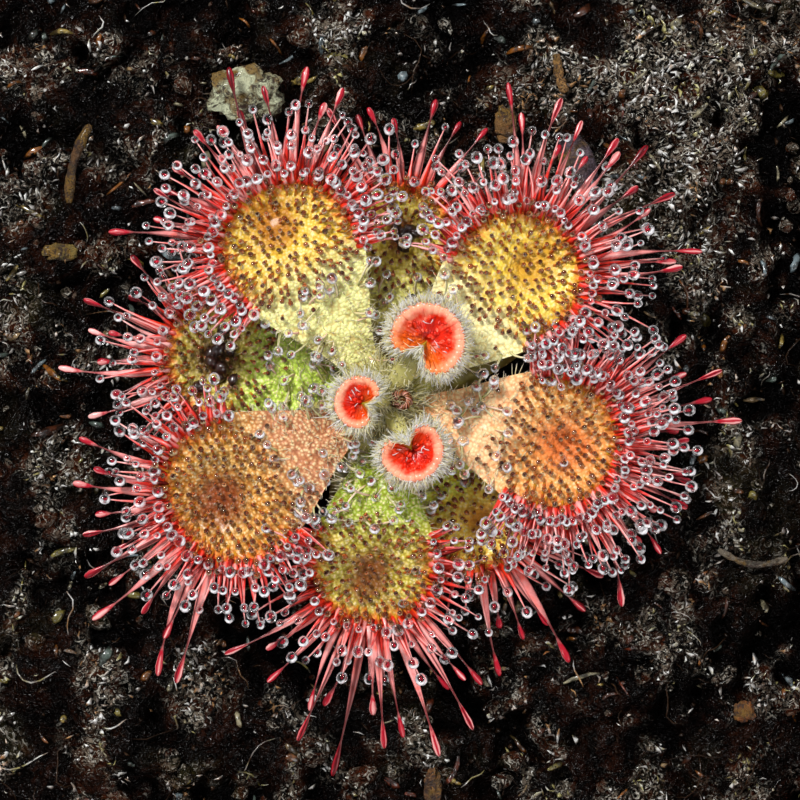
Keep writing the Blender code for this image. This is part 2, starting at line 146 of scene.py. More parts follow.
table_mesh = bpy.data.meshes.new("table")
table_corners = [(HALF_TABLE * x, HALF_TABLE * y, 0) for x, y in ((-1, -1), (1, -1), (1, 1), (-1, 1))]
table_mesh.from_pydata(table_corners, [], [(0, 1, 2, 3)])
table = place_in_scene("table", table_mesh)
table_card, card_tree = new_material("matt card")
card = add(card_tree, "BsdfPrincipled", {"Base Color": linear(TABLE_COLOUR), "Roughness": 0.9})
add(card_tree, "OutputMaterial", {"Surface": card.outputs[0]})
table_mesh.materials.append(table_card)


# ---------------------------------------------------------------- pot

# A round nursery pot, injection-moulded in one shot from terracotta-coloured polypropylene: thin walls, a
# stepped collar that stiffens the rim, a foot ring with water notches and nine drain holes in its floor.
POT_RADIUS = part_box("pot")[1][0]
POT_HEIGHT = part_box("pot")[1][2]
POT_WALL = 1.4 * mm
POT_FOOT = 28 * mm
COLLAR_DEPTH = 12 * mm
COLLAR_INSET = 0.7 * mm  # of the collar's face behind the bead
COLLAR_TAPER = 0.5 * mm
COLLAR_STEP = 1.6 * mm
BEAD_DEPTH = 2.2 * mm
FOOT_WIDTH = 2.6 * mm
FLOOR_RAISE = 2.0 * mm
FOOT_TAPER = 0.4 * mm
ROUNDING = 0.45 * mm
AROUND = 192
DRAIN_HOLES = 9  # one in the middle of the floor and the others round it
DRAIN_RADIUS = 2.0 * mm
DRAIN_RING = 17 * mm
NOTCH_WIDTH, NOTCH_HEIGHT = 5 * mm, 1.2 * mm  # of the gaps in the foot
SHARP_EDGE = 50  # degrees


def rounded(corners, radius, steps=4):
    """A profile whose corners are arcs: each corner gives way to a quadratic curve between points `radius`
    before it and after it, or half the shorter side where that is less."""
    corners = np.array(corners)
    before = np.roll(corners, 1, axis=0) - corners
    after = np.roll(corners, -1, axis=0) - corners
    short = np.minimum(np.linalg.norm(before, axis=1), np.linalg.norm(after, axis=1))
    cut = np.minimum(radius, short / 2)[:, None]
    first = corners + before / np.linalg.norm(before, axis=1, keepdims=True) * cut
    last = corners + after / np.linalg.norm(after, axis=1, keepdims=True) * cut
    t = np.linspace(0, 1, steps)[None, :, None]
    arc = (1 - t) ** 2 * first[:, None] + 2 * t * (1 - t) * corners[:, None] + t**2 * last[:, None]
    return arc.reshape(-1, 2)


def mesh_piece(name, points, faces, material, slot, **values):
    """Makes an object of an array of points and a list of faces, with one number or colour per point for
    each further value, which its material reads as an attribute."""
    mesh = bpy.data.meshes.new(name)
    mesh.from_pydata(np.asarray(points).reshape(-1, 3).tolist(), [], faces)
    for key, numbers in values.items():
        numbers = np.asarray(numbers, dtype=np.float32)
        if numbers.shape[-1] == 4 and numbers.ndim > 1:
            mesh.attributes.new(key, "FLOAT_COLOR", "POINT").data.foreach_set("color", numbers.ravel())
        else:
            mesh.attributes.new(key, "FLOAT", "POINT").data.foreach_set("value", numbers.ravel())
    mesh.shade_smooth()
    mesh.materials.append(material)
    piece = place_in_scene(name, mesh)
    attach(piece, "root")
    return piece


def lattice(rows, columns, first=0, joined=False):
    """The quads of a grid of points numbered row by row. Joined, its last column meets its first."""
    index = first + np.arange(rows * columns).reshape(rows, columns)
    here, beside = (index, np.roll(index, -1, axis=1)) if joined else (index[:, :-1], index[:, 1:])
    quads = np.stack([here[:-1], beside[:-1], beside[1:], here[1:]], axis=-1)
    return quads.reshape(-1, 4).tolist()


def pot_body_radius(height):
    """The wall's outer radius: it widens evenly from the foot to the collar's foot."""
    collar_foot = POT_RADIUS - COLLAR_INSET - COLLAR_TAPER - COLLAR_STEP
    return POT_FOOT + (collar_foot - POT_FOOT) * height / (POT_HEIGHT - COLLAR_DEPTH)


collar = POT_RADIUS - COLLAR_INSET
collar_foot = POT_HEIGHT - COLLAR_DEPTH
step = collar_foot + POT_WALL
floor = FLOOR_RAISE + POT_WALL
foot_inside = POT_FOOT - FOOT_WIDTH
centre = 0.02 * mm
pot_section = rounded(
    [
        (centre, floor),
        (pot_body_radius(floor) - POT_WALL, floor),
        (pot_body_radius(step) - POT_WALL, step),
        (collar - POT_WALL - COLLAR_TAPER, step),
        (collar - POT_WALL, POT_HEIGHT),
        (POT_RADIUS, POT_HEIGHT),
        (POT_RADIUS, POT_HEIGHT - BEAD_DEPTH),
        (collar, POT_HEIGHT - BEAD_DEPTH),
        (collar - COLLAR_TAPER, collar_foot),
        (pot_body_radius(collar_foot), collar_foot),
        (pot_body_radius(0), 0),
        (foot_inside, 0),
        (foot_inside - FOOT_TAPER, FLOOR_RAISE),
        (centre, FLOOR_RAISE),
    ],
    ROUNDING,
)

# The section is turned round the pot's axis. Its two ends meet round a pin-prick in the middle of the floor,
# where a drain hole comes.
turn = 2 * np.pi * np.arange(AROUND) / AROUND
pot_points = np.stack(
    [
        pot_section[:, None, 0] * np.cos(turn),
        pot_section[:, None, 0] * np.sin(turn),
        np.repeat(pot_section[:, None, 1], AROUND, axis=1),
    ],
    axis=-1,
)
rings_in_section = len(pot_section)
pot_faces = [face[::-1] for face in lattice(rings_in_section, AROUND, joined=True)]
closing = [face[::-1] for face in lattice(2, AROUND, joined=True)]
last_ring = (rings_in_section - 1) * AROUND
pot_faces += [
    [corner % AROUND + (last_ring if corner < AROUND else 0) for corner in face] for face in closing
]

# Polypropylene takes the fine spark-eroded grain of its mould, and its pigment shows faint flow marks that
# run down from the rim, about 11 mm apart. Splashed peat and dried tap water leave a dull tide line at the
# foot and the rim, in clouds 22 mm across. The real grain is under 0.1 mm and is drawn as 0.4 mm, to show.
# A pattern's Scale is how many of its marks go to a length, so 2.6 / mm puts one every 0.4 mm.
pot_plastic, tree = new_material("terracotta polypropylene")
here = add(tree, "TexCoord").outputs["Object"]
stretched = add(tree, "Mapping", {"Vector": here, "Scale": (1, 1, 0.12)})
flow = add(
    tree, "TexNoise", {"Vector": stretched.outputs[0], "Scale": 0.09 / mm, "Detail": 5, "Roughness": 0.6}
)
cloud = add(tree, "TexNoise", {"Vector": here, "Scale": 0.045 / mm, "Detail": 6, "Roughness": 0.65})
grain = add(tree, "TexNoise", {"Vector": here, "Scale": 2.6 / mm, "Detail": 2})
height = add(tree, "SeparateXYZ", {0: here}).outputs["Z"]
pigment = add(
    tree,
    "MixRGB",
    {"Fac": flow.outputs["Fac"], "Color1": linear("#A85A3C"), "Color2": linear("#C17350")},
)
foot_tide = add(
    tree, "MapRange", {0: height, 1: 0.0, 2: 16 * mm, 3: 0.75, 4: 0.0}, interpolation_type="SMOOTHSTEP"
)
rim_tide = add(
    tree, "MapRange", {0: height, 1: 58 * mm, 2: 64 * mm, 3: 0.0, 4: 0.35}, interpolation_type="SMOOTHSTEP"
)
tide = add(tree, "Math", {0: foot_tide.outputs[0], 1: rim_tide.outputs[0]}, operation="MAXIMUM")
patchy = add(
    tree,
    "MapRange",
    {0: cloud.outputs["Fac"], 1: 0.46, 2: 0.66, 3: 0.0, 4: 1.0},
    interpolation_type="SMOOTHSTEP",
)
bloom = add(tree, "Math", {0: tide.outputs[0], 1: patchy.outputs[0]}, operation="MULTIPLY")
faded = add(
    tree, "MixRGB", {"Fac": bloom.outputs[0], "Color1": pigment.outputs[0], "Color2": linear("#C9AD97")}
)
matt = add(tree, "MapRange", {0: bloom.outputs[0], 1: 0.0, 2: 1.0, 3: 0.42, 4: 0.75})
moulded = add(tree, "Bump", {"Height": grain.outputs["Fac"], "Strength": 0.30, "Distance": 0.05 * mm})
wavy = add(
    tree,
    "Bump",
    {"Height": flow.outputs["Fac"], "Strength": 0.35, "Distance": 0.3 * mm, "Normal": moulded.outputs[0]},
)
plastic = add(
    tree,
    "BsdfPrincipled",
    {"Base Color": faded.outputs[0], "Roughness": matt.outputs[0], "Normal": wavy.outputs[0], "IOR": 1.49},
)
add(tree, "OutputMaterial", {"Surface": plastic.outputs[0]})

# The holes and notches are cut out by rods and bars.
pot = mesh_piece("pot_shell", pot_points, pot_faces, pot_plastic, "pot_plastic")
cutters = []
for index in range(DRAIN_HOLES):
    bpy.ops.mesh.primitive_cylinder_add(vertices=40, radius=DRAIN_RADIUS, depth=4 * FLOOR_RAISE)
    cutter = bpy.context.object
    angle = 2 * math.pi * (index - 0.5) / (DRAIN_HOLES - 1)
    ring = DRAIN_RING if index else 0
    cutter.location = (ring * math.cos(angle), ring * math.sin(angle), FLOOR_RAISE)
    cutters.append(cutter)
for quarter in range(2):
    bpy.ops.mesh.primitive_cube_add(size=1)
    cutter = bpy.context.object
    cutter.scale = (3 * POT_FOOT, NOTCH_WIDTH, 2 * NOTCH_HEIGHT)
    cutter.rotation_euler.z = quarter * math.pi / 2
    cutters.append(cutter)
for cutter in cutters:
    cut = pot.modifiers.new("cut", "BOOLEAN")
    cut.operation = "DIFFERENCE"
    cut.object = cutter
bpy.context.view_layer.update()
pot_before = pot.data
pot.data = bpy.data.meshes.new_from_object(pot.evaluated_get(bpy.context.evaluated_depsgraph_get()))
pot.modifiers.clear()
pot.data.name = "pot_shell"
pot.data.set_sharp_from_angle(angle=math.radians(SHARP_EDGE))
bpy.data.meshes.remove(pot_before)
for cutter in cutters:
    bpy.data.objects.remove(cutter)
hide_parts("pot")


# ---------------------------------------------------------------- peat

# Wet sphagnum peat, pressed in by hand: crumbs a millimetre or two across, bound by half-rotted fibres. Wet
# peat is nearly black, and the film of water on it glints from every raised thread.
PEAT_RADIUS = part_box("peat")[1][0]
PEAT_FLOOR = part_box("peat")[0][2]
PEAT_TOP = 61 * mm
PEAT_CELLS = 204  # squares along each side of the top's grid
# The plug's side: how far below the top each ring lies, and its radius as a share of the top's
PLUG_RINGS = (
    (3 * mm, 1.0),
    (PEAT_TOP - collar_foot - 1.9 * mm, 0.995),
    (PEAT_TOP - PEAT_FLOOR, 0.74),
)


def ripple(x, y, length, seed, waves=11):
    """Rolling ground, mostly between -1 and 1: plane waves of nearly one length in mixed directions, added up
    and divided by the root of their number."""
    rng = np.random.default_rng(seed)
    total = np.zeros(np.broadcast(x, y).shape)
    for way, phase, stretch in rng.uniform(0, 1, (waves, 3)):
        pace = 2 * np.pi / (length * (0.7 + 0.6 * stretch))
        along = x * np.cos(2 * np.pi * way) + y * np.sin(2 * np.pi * way)
        total += np.sin(pace * along + 2 * np.pi * phase)
    return total / np.sqrt(waves)


def clods(x, y, size, seed):
    """Rounded lumps from 0 between them to 1 on top: one lump stands in each cell of a grid, off its middle
    by chance, and each point takes the tallest of the paraboloids in the nine cells round it."""
    column, row = np.floor(x / size), np.floor(y / size)
    tallest = np.zeros_like(x)
    for side in (-1, 0, 1):
        for front in (-1, 0, 1):
            key = (column + side) * 127.1 + (row + front) * 311.7 + seed
            across, along, scale = (np.abs(np.sin(key * k) * 43758.5) % 1 for k in (1.0, 1.37, 2.11))
            away = np.hypot(x / size - column - side - across, y / size - row - front - along)
            tallest = np.maximum(tallest, (0.45 + 0.55 * scale) * (1 - (away / (0.55 + 0.4 * scale)) ** 2))
    return tallest


def peat_lumps(x, y):
    """The lumps on the peat, in three sizes, as millimetres above the cracks between them."""
    across, along = x / mm, y / mm
    lumps = 0.95 * clods(across, along, 3.1, 3) + 0.65 * clods(across, along, 1.5, 8)
    return lumps + 0.28 * clods(across, along, 0.7, 5)


def peat_gaps(x, y):
    """Where the peat is torn open: 1 in the pits between the largest lumps and 0 on them, the lumps' outline
    being pushed about by ripples."""
    across, along = x / mm, y / mm
    push_x, push_y = 0.9 * ripple(across, along, 2.6, 31), 0.9 * ripple(across, along, 2.6, 32)
    return np.clip(1.08 - 2.6 * clods(across + push_x, along + push_y, 4.7, 21), 0, 1)


def peat_brightness(x, y):
    """How bright the peat is painted, 0 to 1: in patches some millimetres across, where pale, half-rotted
    moss shows, brightest to the north-east, and 0 in the pits between the largest lumps, where the material
    paints shade. Painted glints and pale shreds gather where it is high."""
    across, along = x / mm, y / mm
    patches = -0.04 + 0.95 * ripple(across, along, 6.0, 71) + 0.55 * ripple(across, along, 2.4, 72)
    patches = patches + 1.5 * np.exp(-((across - 18) ** 2 + (along - 17) ** 2) / 110)
    return np.clip(patches, 0, 1) * (1 - peat_gaps(x, y))


def peat_height(x, y):
    """The peat's surface: the CAD's three long waves, then lumps and ripples of ever smaller size, less the
    pits where it is torn open."""
    across, along = x / mm, y / mm
    swell = 0.40 * np.sin(across / 5.3 + 0.6) * np.cos(along / 6.1 - 0.4)
    swell += 0.22 * np.sin((across + along) / 4.6 + 1.7) + 0.16 * np.cos((across - 1.4 * along) / 5.2)
    threads = 0.25 * ripple(across, along, 2.1, 1) - 0.20 * np.abs(ripple(across, along, 1.0, 2))
    return PEAT_TOP + (swell + peat_lumps(x, y) + threads - 0.80 - 0.9 * peat_gaps(x, y)) * mm


# The top is a square grid drawn out to a disc: each coordinate times the root of 1 less half the other's
# square. The rings of the plug's side run down from its edge, and a flat floor closes it.
side = np.linspace(-1, 1, PEAT_CELLS + 1)
grid_x, grid_y = np.meshgrid(side, side, indexing="xy")
disc_x = PEAT_RADIUS * grid_x * np.sqrt(1 - grid_y**2 / 2)
disc_y = PEAT_RADIUS * grid_y * np.sqrt(1 - grid_x**2 / 2)
peat_top = np.stack([disc_x, disc_y, peat_height(disc_x, disc_y)], axis=-1)
numbered = np.arange(peat_top.shape[0] ** 2).reshape(peat_top.shape[:2])
shore = np.concatenate([numbered[0, :-1], numbered[:-1, -1], numbered[-1, :0:-1], numbered[:0:-1, 0]])
shore_points = peat_top.reshape(-1, 3)[shore]
peat_side = []
for depth, spread in PLUG_RINGS:
    peat_side.append(shore_points * (spread, spread, 0) + (0, 0, PEAT_TOP - depth))
side_numbers = peat_top[..., 0].size + np.arange(len(shore) * len(PLUG_RINGS)).reshape(len(PLUG_RINGS), -1)
peat_rings = np.stack([shore, *side_numbers])
below = np.roll(peat_rings, -1, axis=1)
wall_faces = np.stack([peat_rings[1:], below[1:], below[:-1], peat_rings[:-1]], axis=-1).reshape(-1, 4)
peat_faces = lattice(PEAT_CELLS + 1, PEAT_CELLS + 1) + wall_faces.tolist() + [peat_rings[-1][::-1].tolist()]

# Rotted moss, black to rust-brown in patches 2.4 mm across and green in others of 6 mm. Where `lit` is high,
# pale flecks along its threads are painted glints of the wet moss, and curled flakes 0.8 mm across are
# bleached leaf with painted glints on them. Where it is low the colour darkens towards black, which in the
# pits is painted shade, and the cracks are painted nearly black as shade. Its threads are 0.4 mm apart and
# its shreds 0.3 mm, which is coarser than the real ones, to show. A film of water lies on the threads but not
# in the cracks.
peat_mass, tree = new_material("wet sphagnum peat")
here = add(tree, "TexCoord").outputs["Object"]
broad = add(tree, "TexNoise", {"Vector": here, "Scale": 0.17 / mm, "Detail": 4, "Roughness": 0.6})
patch = add(
    tree, "TexNoise", {"Vector": here, "Scale": 0.42 / mm, "Detail": 3, "Roughness": 0.7, "Distortion": 1.2}
)
fibrous = add(
    tree, "TexNoise", {"Vector": here, "Scale": 2.3 / mm, "Detail": 1, "Roughness": 0.5, "Distortion": 2.0}
)
shreds = add(tree, "TexVoronoi", {"Vector": here, "Scale": 3.4 / mm})
crack = add(tree, "Attribute", attribute_name="crack").outputs["Fac"]
brown_share = add(
    tree,
    "MapRange",
    {0: patch.outputs["Fac"], 1: 0.46, 2: 0.62, 3: 0.0, 4: 1.0},
    interpolation_type="SMOOTHSTEP",
)
green_share = add(
    tree,
    "MapRange",
    {0: broad.outputs["Fac"], 1: 0.52, 2: 0.66, 3: 0.0, 4: 0.8},
    interpolation_type="SMOOTHSTEP",
)
# Painted glints: pale flecks along the threads where `lit` is high, for the light that the wet moss catches.
fleck_share = add(
    tree,
    "MapRange",
    {0: fibrous.outputs["Fac"], 1: 0.57, 2: 0.66, 3: 0.0, 4: 1.0},
    interpolation_type="SMOOTHSTEP",
)
lit = add(tree, "Attribute", attribute_name="lit").outputs["Fac"]
painted_glint_place = add(tree, "Math", {0: fleck_share.outputs[0], 1: lit}, operation="MULTIPLY")
dark = add(
    tree, "MixRGB", {"Fac": brown_share.outputs[0], "Color1": linear("#040302"), "Color2": linear("#3C1A0A")}
)
mossy = add(
    tree, "MixRGB", {"Fac": green_share.outputs[0], "Color1": dark.outputs[0], "Color2": linear("#24200C")}
)
# Curled flakes 0.8 mm across, pale where `lit` is high: bleached leaf, with painted glints on it too.
curls = add(
    tree, "TexNoise", {"Vector": here, "Scale": 1.25 / mm, "Detail": 2, "Roughness": 0.6, "Distortion": 2.6}
)
curled = add(
    tree,
    "MapRange",
    {0: curls.outputs["Fac"], 1: 0.48, 2: 0.58, 3: 0.0, 4: 1.0},
    interpolation_type="SMOOTHSTEP",
)
glint_flake_share = add(tree, "MapRange", {0: lit, 1: 0.2, 2: 0.9, 3: 0.0, 4: 0.95})
painted_glint_flakes = add(tree, "Math", {0: curled.outputs[0], 1: glint_flake_share.outputs[0]}, operation="MULTIPLY")
mossy = add(
    tree, "MixRGB", {"Fac": painted_glint_flakes.outputs[0], "Color1": mossy.outputs[0], "Color2": linear("#74685A")}
)
# Where `lit` is low the colour is darkened towards black. In the pits, where it is 0, this is painted shade.
gloomy = add(tree, "MapRange", {0: lit, 1: 0.0, 2: 0.5, 3: 0.75, 4: 0.0})
shaded = add(
    tree, "MixRGB", {"Fac": gloomy.outputs[0], "Color1": mossy.outputs[0], "Color2": linear("#070302")}
)
painted_glints = add(
    tree, "MixRGB", {"Fac": painted_glint_place.outputs[0], "Color1": shaded.outputs[0], "Color2": linear("#C4BEB0")}
)
# Painted shade: the cracks go nearly black.
painted_crack_shade = add(tree, "MixRGB", {"Fac": crack, "Color1": painted_glints.outputs[0], "Color2": linear("#020101")})
torn = add(
    tree, "Bump", {"Height": shreds.outputs["Distance"], "Strength": 1.0, "Distance": 0.22 * mm}, invert=True
)
shaggy = add(
    tree,
    "Bump",
    {"Height": fibrous.outputs["Fac"], "Strength": 1.0, "Distance": 0.55 * mm, "Normal": torn.outputs[0]},
)
raised = add(tree, "MapRange", {0: crack, 1: 0.2, 2: 0.8, 3: 1.0, 4: 0.0})
ridges = add(tree, "MapRange", {0: fibrous.outputs["Fac"], 1: 0.50, 2: 0.62, 3: 0.08, 4: 0.9})
film = add(tree, "Math", {0: raised.outputs[0], 1: ridges.outputs[0]}, operation="MULTIPLY")
wet = add(
    tree,
    "BsdfPrincipled",
    {
        "Base Color": painted_crack_shade.outputs[0],
        "Roughness": 0.38,
        "Specular IOR Level": 0.04,
        "Normal": shaggy.outputs[0],
        "Coat Weight": film.outputs[0],
        "Coat Roughness": 0.08,
        "Coat IOR": 1.4,
        "Coat Normal": shaggy.outputs[0],
    },
)
add(tree, "OutputMaterial", {"Surface": wet.outputs[0]})
peat_points = np.concatenate([peat_top.reshape(-1, 3), *peat_side])
# How deep in a crack each point lies, in the low ground between the lumps and in the pits. The material
# paints these nearly black as painted shade and keeps its film of water off them.
cracks = np.clip(1.15 - peat_lumps(peat_points[:, 0], peat_points[:, 1]) / 0.9, 0, 0.95)
cracks = np.maximum(cracks, peat_gaps(peat_points[:, 0], peat_points[:, 1]))
moss_and_light = peat_brightness(peat_points[:, 0], peat_points[:, 1])
peat = mesh_piece("peat_plug", peat_points, peat_faces, peat_mass, "wet_peat", crack=cracks, lit=moss_and_light)
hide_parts("peat")


# ---------------------------------------------------------------- peat shreds, fibres and crumbs

# Loose bits of half-rotted moss and sedge cover the peat: leaf shreds under a millimetre long, combed this
# way and that by watering, and threads as fine as hair that curl as they shrink. A film of water lights the
# backs of the paler ones.
SHREDS = 11000
FIBRES = 380
CRUMBS = 480
LEAF_BITS = 720
BIT_COLOURS = ("#7E4A14", "#5A2410", "#6E642C", "#7E6848", "#4C5850", "#42200F", "#6A3E1A", "#8A7638",
               "#6A787C", "#8C8468")


def unit(vectors):
    return vectors / np.maximum(np.linalg.norm(vectors, axis=-1, keepdims=True), 1e-12)


def tubes(path, radius, sides, hint=(0.0, 0.0, 1.0), flat=1.0):
    """Rings round many paths at once, path[k, i] being point i of path k. A ring is an ellipse square to its
    path: `radius` wide along path x hint, and `flat` times that the other way."""
    ahead = unit(np.gradient(path, axis=1))
    across = unit(np.cross(ahead, np.broadcast_to(hint, path.shape)))
    up = np.cross(ahead, across)
    angle = 2 * np.pi * np.arange(sides)[:, None] / sides
    ring = np.cos(angle) * across[:, :, None] + flat * np.sin(angle) * up[:, :, None]
    return path[:, :, None] + np.broadcast_to(radius, path.shape[:2])[:, :, None, None] * ring


def skin(rings):
    """The faces of many closed tubes, rings[k, i, j] being point j of ring i of tube k: quads between
    neighbouring rings, and one face over each end."""
    count, rows, sides = rings.shape[:3]
    index = np.arange(count * rows * sides).reshape(count, rows, sides)
    beside = np.roll(index, -1, axis=2)
    quads = np.stack([index[:, :-1], beside[:, :-1], beside[:, 1:], index[:, 1:]], axis=-1)
    ends = np.concatenate([index[:, 0, ::-1], index[:, -1]])
    return quads.reshape(-1, 4).tolist() + ends.tolist()


def per_point(values, rings):
    """One value for each tube, or for each of its rings, spread over all the points."""
    values = np.asarray(values, dtype=float)
    values = values.reshape(*values.shape, *[1] * (3 - values.ndim))
    return np.broadcast_to(values, rings.shape[:3]).ravel()


def strewn(count, reach, rng):
    """Chance places spread evenly over the peat, out to `reach` of its radius."""
    spread = PEAT_RADIUS * reach * np.sqrt(rng.uniform(0, 1, count))
    bearing = rng.uniform(0, 2 * np.pi, count)
    return spread * np.cos(bearing), spread * np.sin(bearing)


def threads_on_peat(x, y, length, heading, thickness, lift, share):
    """Threads that start at x, y and follow a heading that changes along them, laid on the peat. They swell
    by the root of a sine, arch by a sine times `lift`, and are drawn in where they would cross the pot's
    wall."""
    stride = length[:, None] / (len(share) - 1)
    line_x = x[:, None] + np.cumsum(stride * np.cos(heading), axis=1)
    line_y = y[:, None] + np.cumsum(stride * np.sin(heading), axis=1)
    over = np.maximum(1, np.hypot(line_x, line_y) / (PEAT_RADIUS * 0.985))
    line_x, line_y = line_x / over, line_y / over
    radius = thickness[:, None] * (0.4 + 0.6 * np.sin(np.pi * share) ** 0.5)
    rise = radius + lift[:, None] * np.sin(np.pi * share)
    return np.stack([line_x, line_y, peat_height(line_x, line_y) + rise], axis=-1), radius


# Cell walls in a film of water: black-brown where they have rotted, white, tan or olive where they haven't,
# by neighbourhoods 4 mm across, and blotched every 0.7 mm. The white and pale tones are partly the fibres'
# own and partly painted glints of the water on them.
fibre_stuff, tree = new_material("wet moss fibre")
tone = add(tree, "Attribute", attribute_name="tone")
here = add(tree, "TexCoord").outputs["Object"]
blotch = add(tree, "TexNoise", {"Vector": here, "Scale": 1.4 / mm, "Detail": 3})
uneven = add(tree, "MapRange", {0: blotch.outputs["Fac"], 1: 0.3, 2: 0.7, 3: 0.6, 4: 1.15})
stained = add(tree, "Math", {0: tone.outputs["Fac"], 1: uneven.outputs[0]}, operation="MULTIPLY")
rotted = add(tree, "MapRange", {0: stained.outputs[0], 1: 0.0, 2: 0.45, 3: 0.0, 4: 1.0})
pale_and_glinting = add(tree, "MapRange", {0: stained.outputs[0], 1: 0.35, 2: 0.95, 3: 0.0, 4: 1.0})
peaty = add(
    tree, "MixRGB", {"Fac": rotted.outputs[0], "Color1": linear("#060404"), "Color2": linear("#3E2A1A")}
)
filmed = add(tree, "MapRange", {0: stained.outputs[0], 1: 0.15, 2: 0.5, 3: 0.08, 4: 0.7})
kinds = add(tree, "TexNoise", {"Vector": here, "Scale": 0.26 / mm, "Detail": 3, "Roughness": 0.8})
tanned = add(tree, "MapRange", {0: kinds.outputs["Fac"], 1: 0.40, 2: 0.47, 3: 1.0, 4: 0.0})
olive = add(tree, "MapRange", {0: kinds.outputs["Fac"], 1: 0.53, 2: 0.60, 3: 0.0, 4: 1.0})
dry = add(
    tree, "MixRGB", {"Fac": tanned.outputs[0], "Color1": linear("#F4F4F0"), "Color2": linear("#B4885A")}
)
moss_and_light = add(tree, "MixRGB", {"Fac": olive.outputs[0], "Color1": dry.outputs[0], "Color2": linear("#B0A96E")})
mossy = add(
    tree, "MixRGB", {"Fac": pale_and_glinting.outputs[0], "Color1": peaty.outputs[0], "Color2": moss_and_light.outputs[0]}
)
wet_thread = add(
    tree,
    "BsdfPrincipled",
    {
        "Base Color": mossy.outputs[0],
        "Roughness": 0.3,
        "Specular IOR Level": 0.1,
        "Coat Weight": filmed.outputs[0],
        "Coat Roughness": 0.06,
    },
)
add(tree, "OutputMaterial", {"Surface": wet_thread.outputs[0]})

# Shreds lie pale and thick in some patches and black and sparse in others. The pale ones stand partly for
# painted glints, the light that wet threads catch.
rng = np.random.default_rng(11)
shred_x, shred_y = strewn(4 * SHREDS, 0.98, rng)
bright_patch = peat_brightness(shred_x, shred_y)
liking = 0.10 + bright_patch
chosen = rng.choice(len(liking), SHREDS, replace=False, p=liking / liking.sum())
shred_x, shred_y, bright_patch = shred_x[chosen], shred_y[chosen], bright_patch[chosen]
combed = 2.2 * ripple(shred_x / mm, shred_y / mm, 9.0, 70) + rng.normal(0, 0.55, SHREDS)
pale_and_glint_chance = rng.uniform(0, 1, SHREDS) < 0.10 + 0.75 * bright_patch
shred_tone = np.where(pale_and_glint_chance, rng.uniform(0.5, 1.0, SHREDS), rng.beta(0.7, 2.4, SHREDS) * 0.35)
share = np.linspace(0, 1, 3)
shred_path, shred_radius = threads_on_peat(
    shred_x,
    shred_y,
    rng.gamma(5.0, 0.072, SHREDS).clip(0.18, 0.95) * mm,
    combed[:, None] + rng.normal(0, 1.1, SHREDS)[:, None] * share,
    rng.gamma(5.0, 0.0165, SHREDS).clip(0.04, 0.17) * mm,
    rng.uniform(0.02, 0.24, SHREDS) * mm,
    share,
)
shred_rings = tubes(shred_path, shred_radius, 3, flat=0.7)
mesh_piece(
    "peat_shreds", shred_rings, skin(shred_rings), fibre_stuff, "wet_peat",
    tone=per_point(shred_tone, shred_rings),
)

# Fibres are longer and finer, and wind as they go.
fibre_x, fibre_y = strewn(FIBRES, 0.98, rng)
share = np.linspace(0, 1, 7)
wander = rng.uniform(0, 2 * np.pi, FIBRES)[:, None] + rng.normal(0, 1.7, FIBRES)[:, None] * share
fibre_path, fibre_radius = threads_on_peat(
    fibre_x,
    fibre_y,
    rng.gamma(3.0, 0.6, FIBRES).clip(0.6, 4.2) * mm,
    wander + 0.5 * np.sin(2 * np.pi * share * rng.uniform(0.4, 1.6, FIBRES)[:, None]),
    rng.uniform(0.025, 0.06, FIBRES) * mm,
    rng.uniform(0.1, 0.6, FIBRES) * mm,
    share,
)
fibre_rings = tubes(fibre_path, fibre_radius, 3)
mesh_piece(
    "peat_fibres", fibre_rings, skin(fibre_rings), fibre_stuff, "wet_peat",
    tone=per_point(rng.beta(0.8, 2.0, FIBRES), fibre_rings),
)

# Crumbs that have come loose: each a dented ball, the wall of a short fat tube that swells and closes.
crumb_x, crumb_y = strewn(CRUMBS, 0.97, rng)
crumb_size = rng.gamma(3.0, 0.12, CRUMBS).clip(0.15, 0.8) * mm
crumb_axis = unit(rng.normal(0, 1, (CRUMBS, 3)) * (1, 1, 0.3))
latitude = np.linspace(0.12, np.pi - 0.12, 5)
crumb_long = crumb_size * rng.uniform(0.7, 1.5, CRUMBS)
crumb_centre = np.stack([crumb_x, crumb_y, peat_height(crumb_x, crumb_y) + 0.25 * crumb_size], axis=-1)
crumb_path = crumb_centre[:, None] - crumb_axis[:, None] * (crumb_long[:, None] * np.cos(latitude))[..., None]
crumb_width = crumb_size[:, None] * np.sin(latitude) * rng.uniform(0.7, 1.2, (CRUMBS, len(latitude)))
crumb_rings = tubes(crumb_path, crumb_width, 6, flat=0.7)
crumb_rings = crumb_rings + rng.normal(0, 0.07, crumb_rings.shape) * crumb_size[:, None, None, None]
mesh_piece(
    "peat_crumbs", crumb_rings, skin(crumb_rings), peat_mass, "wet_peat",
    crack=np.zeros(crumb_rings[..., 0].size), lit=np.full(crumb_rings[..., 0].size, 0.5),
)

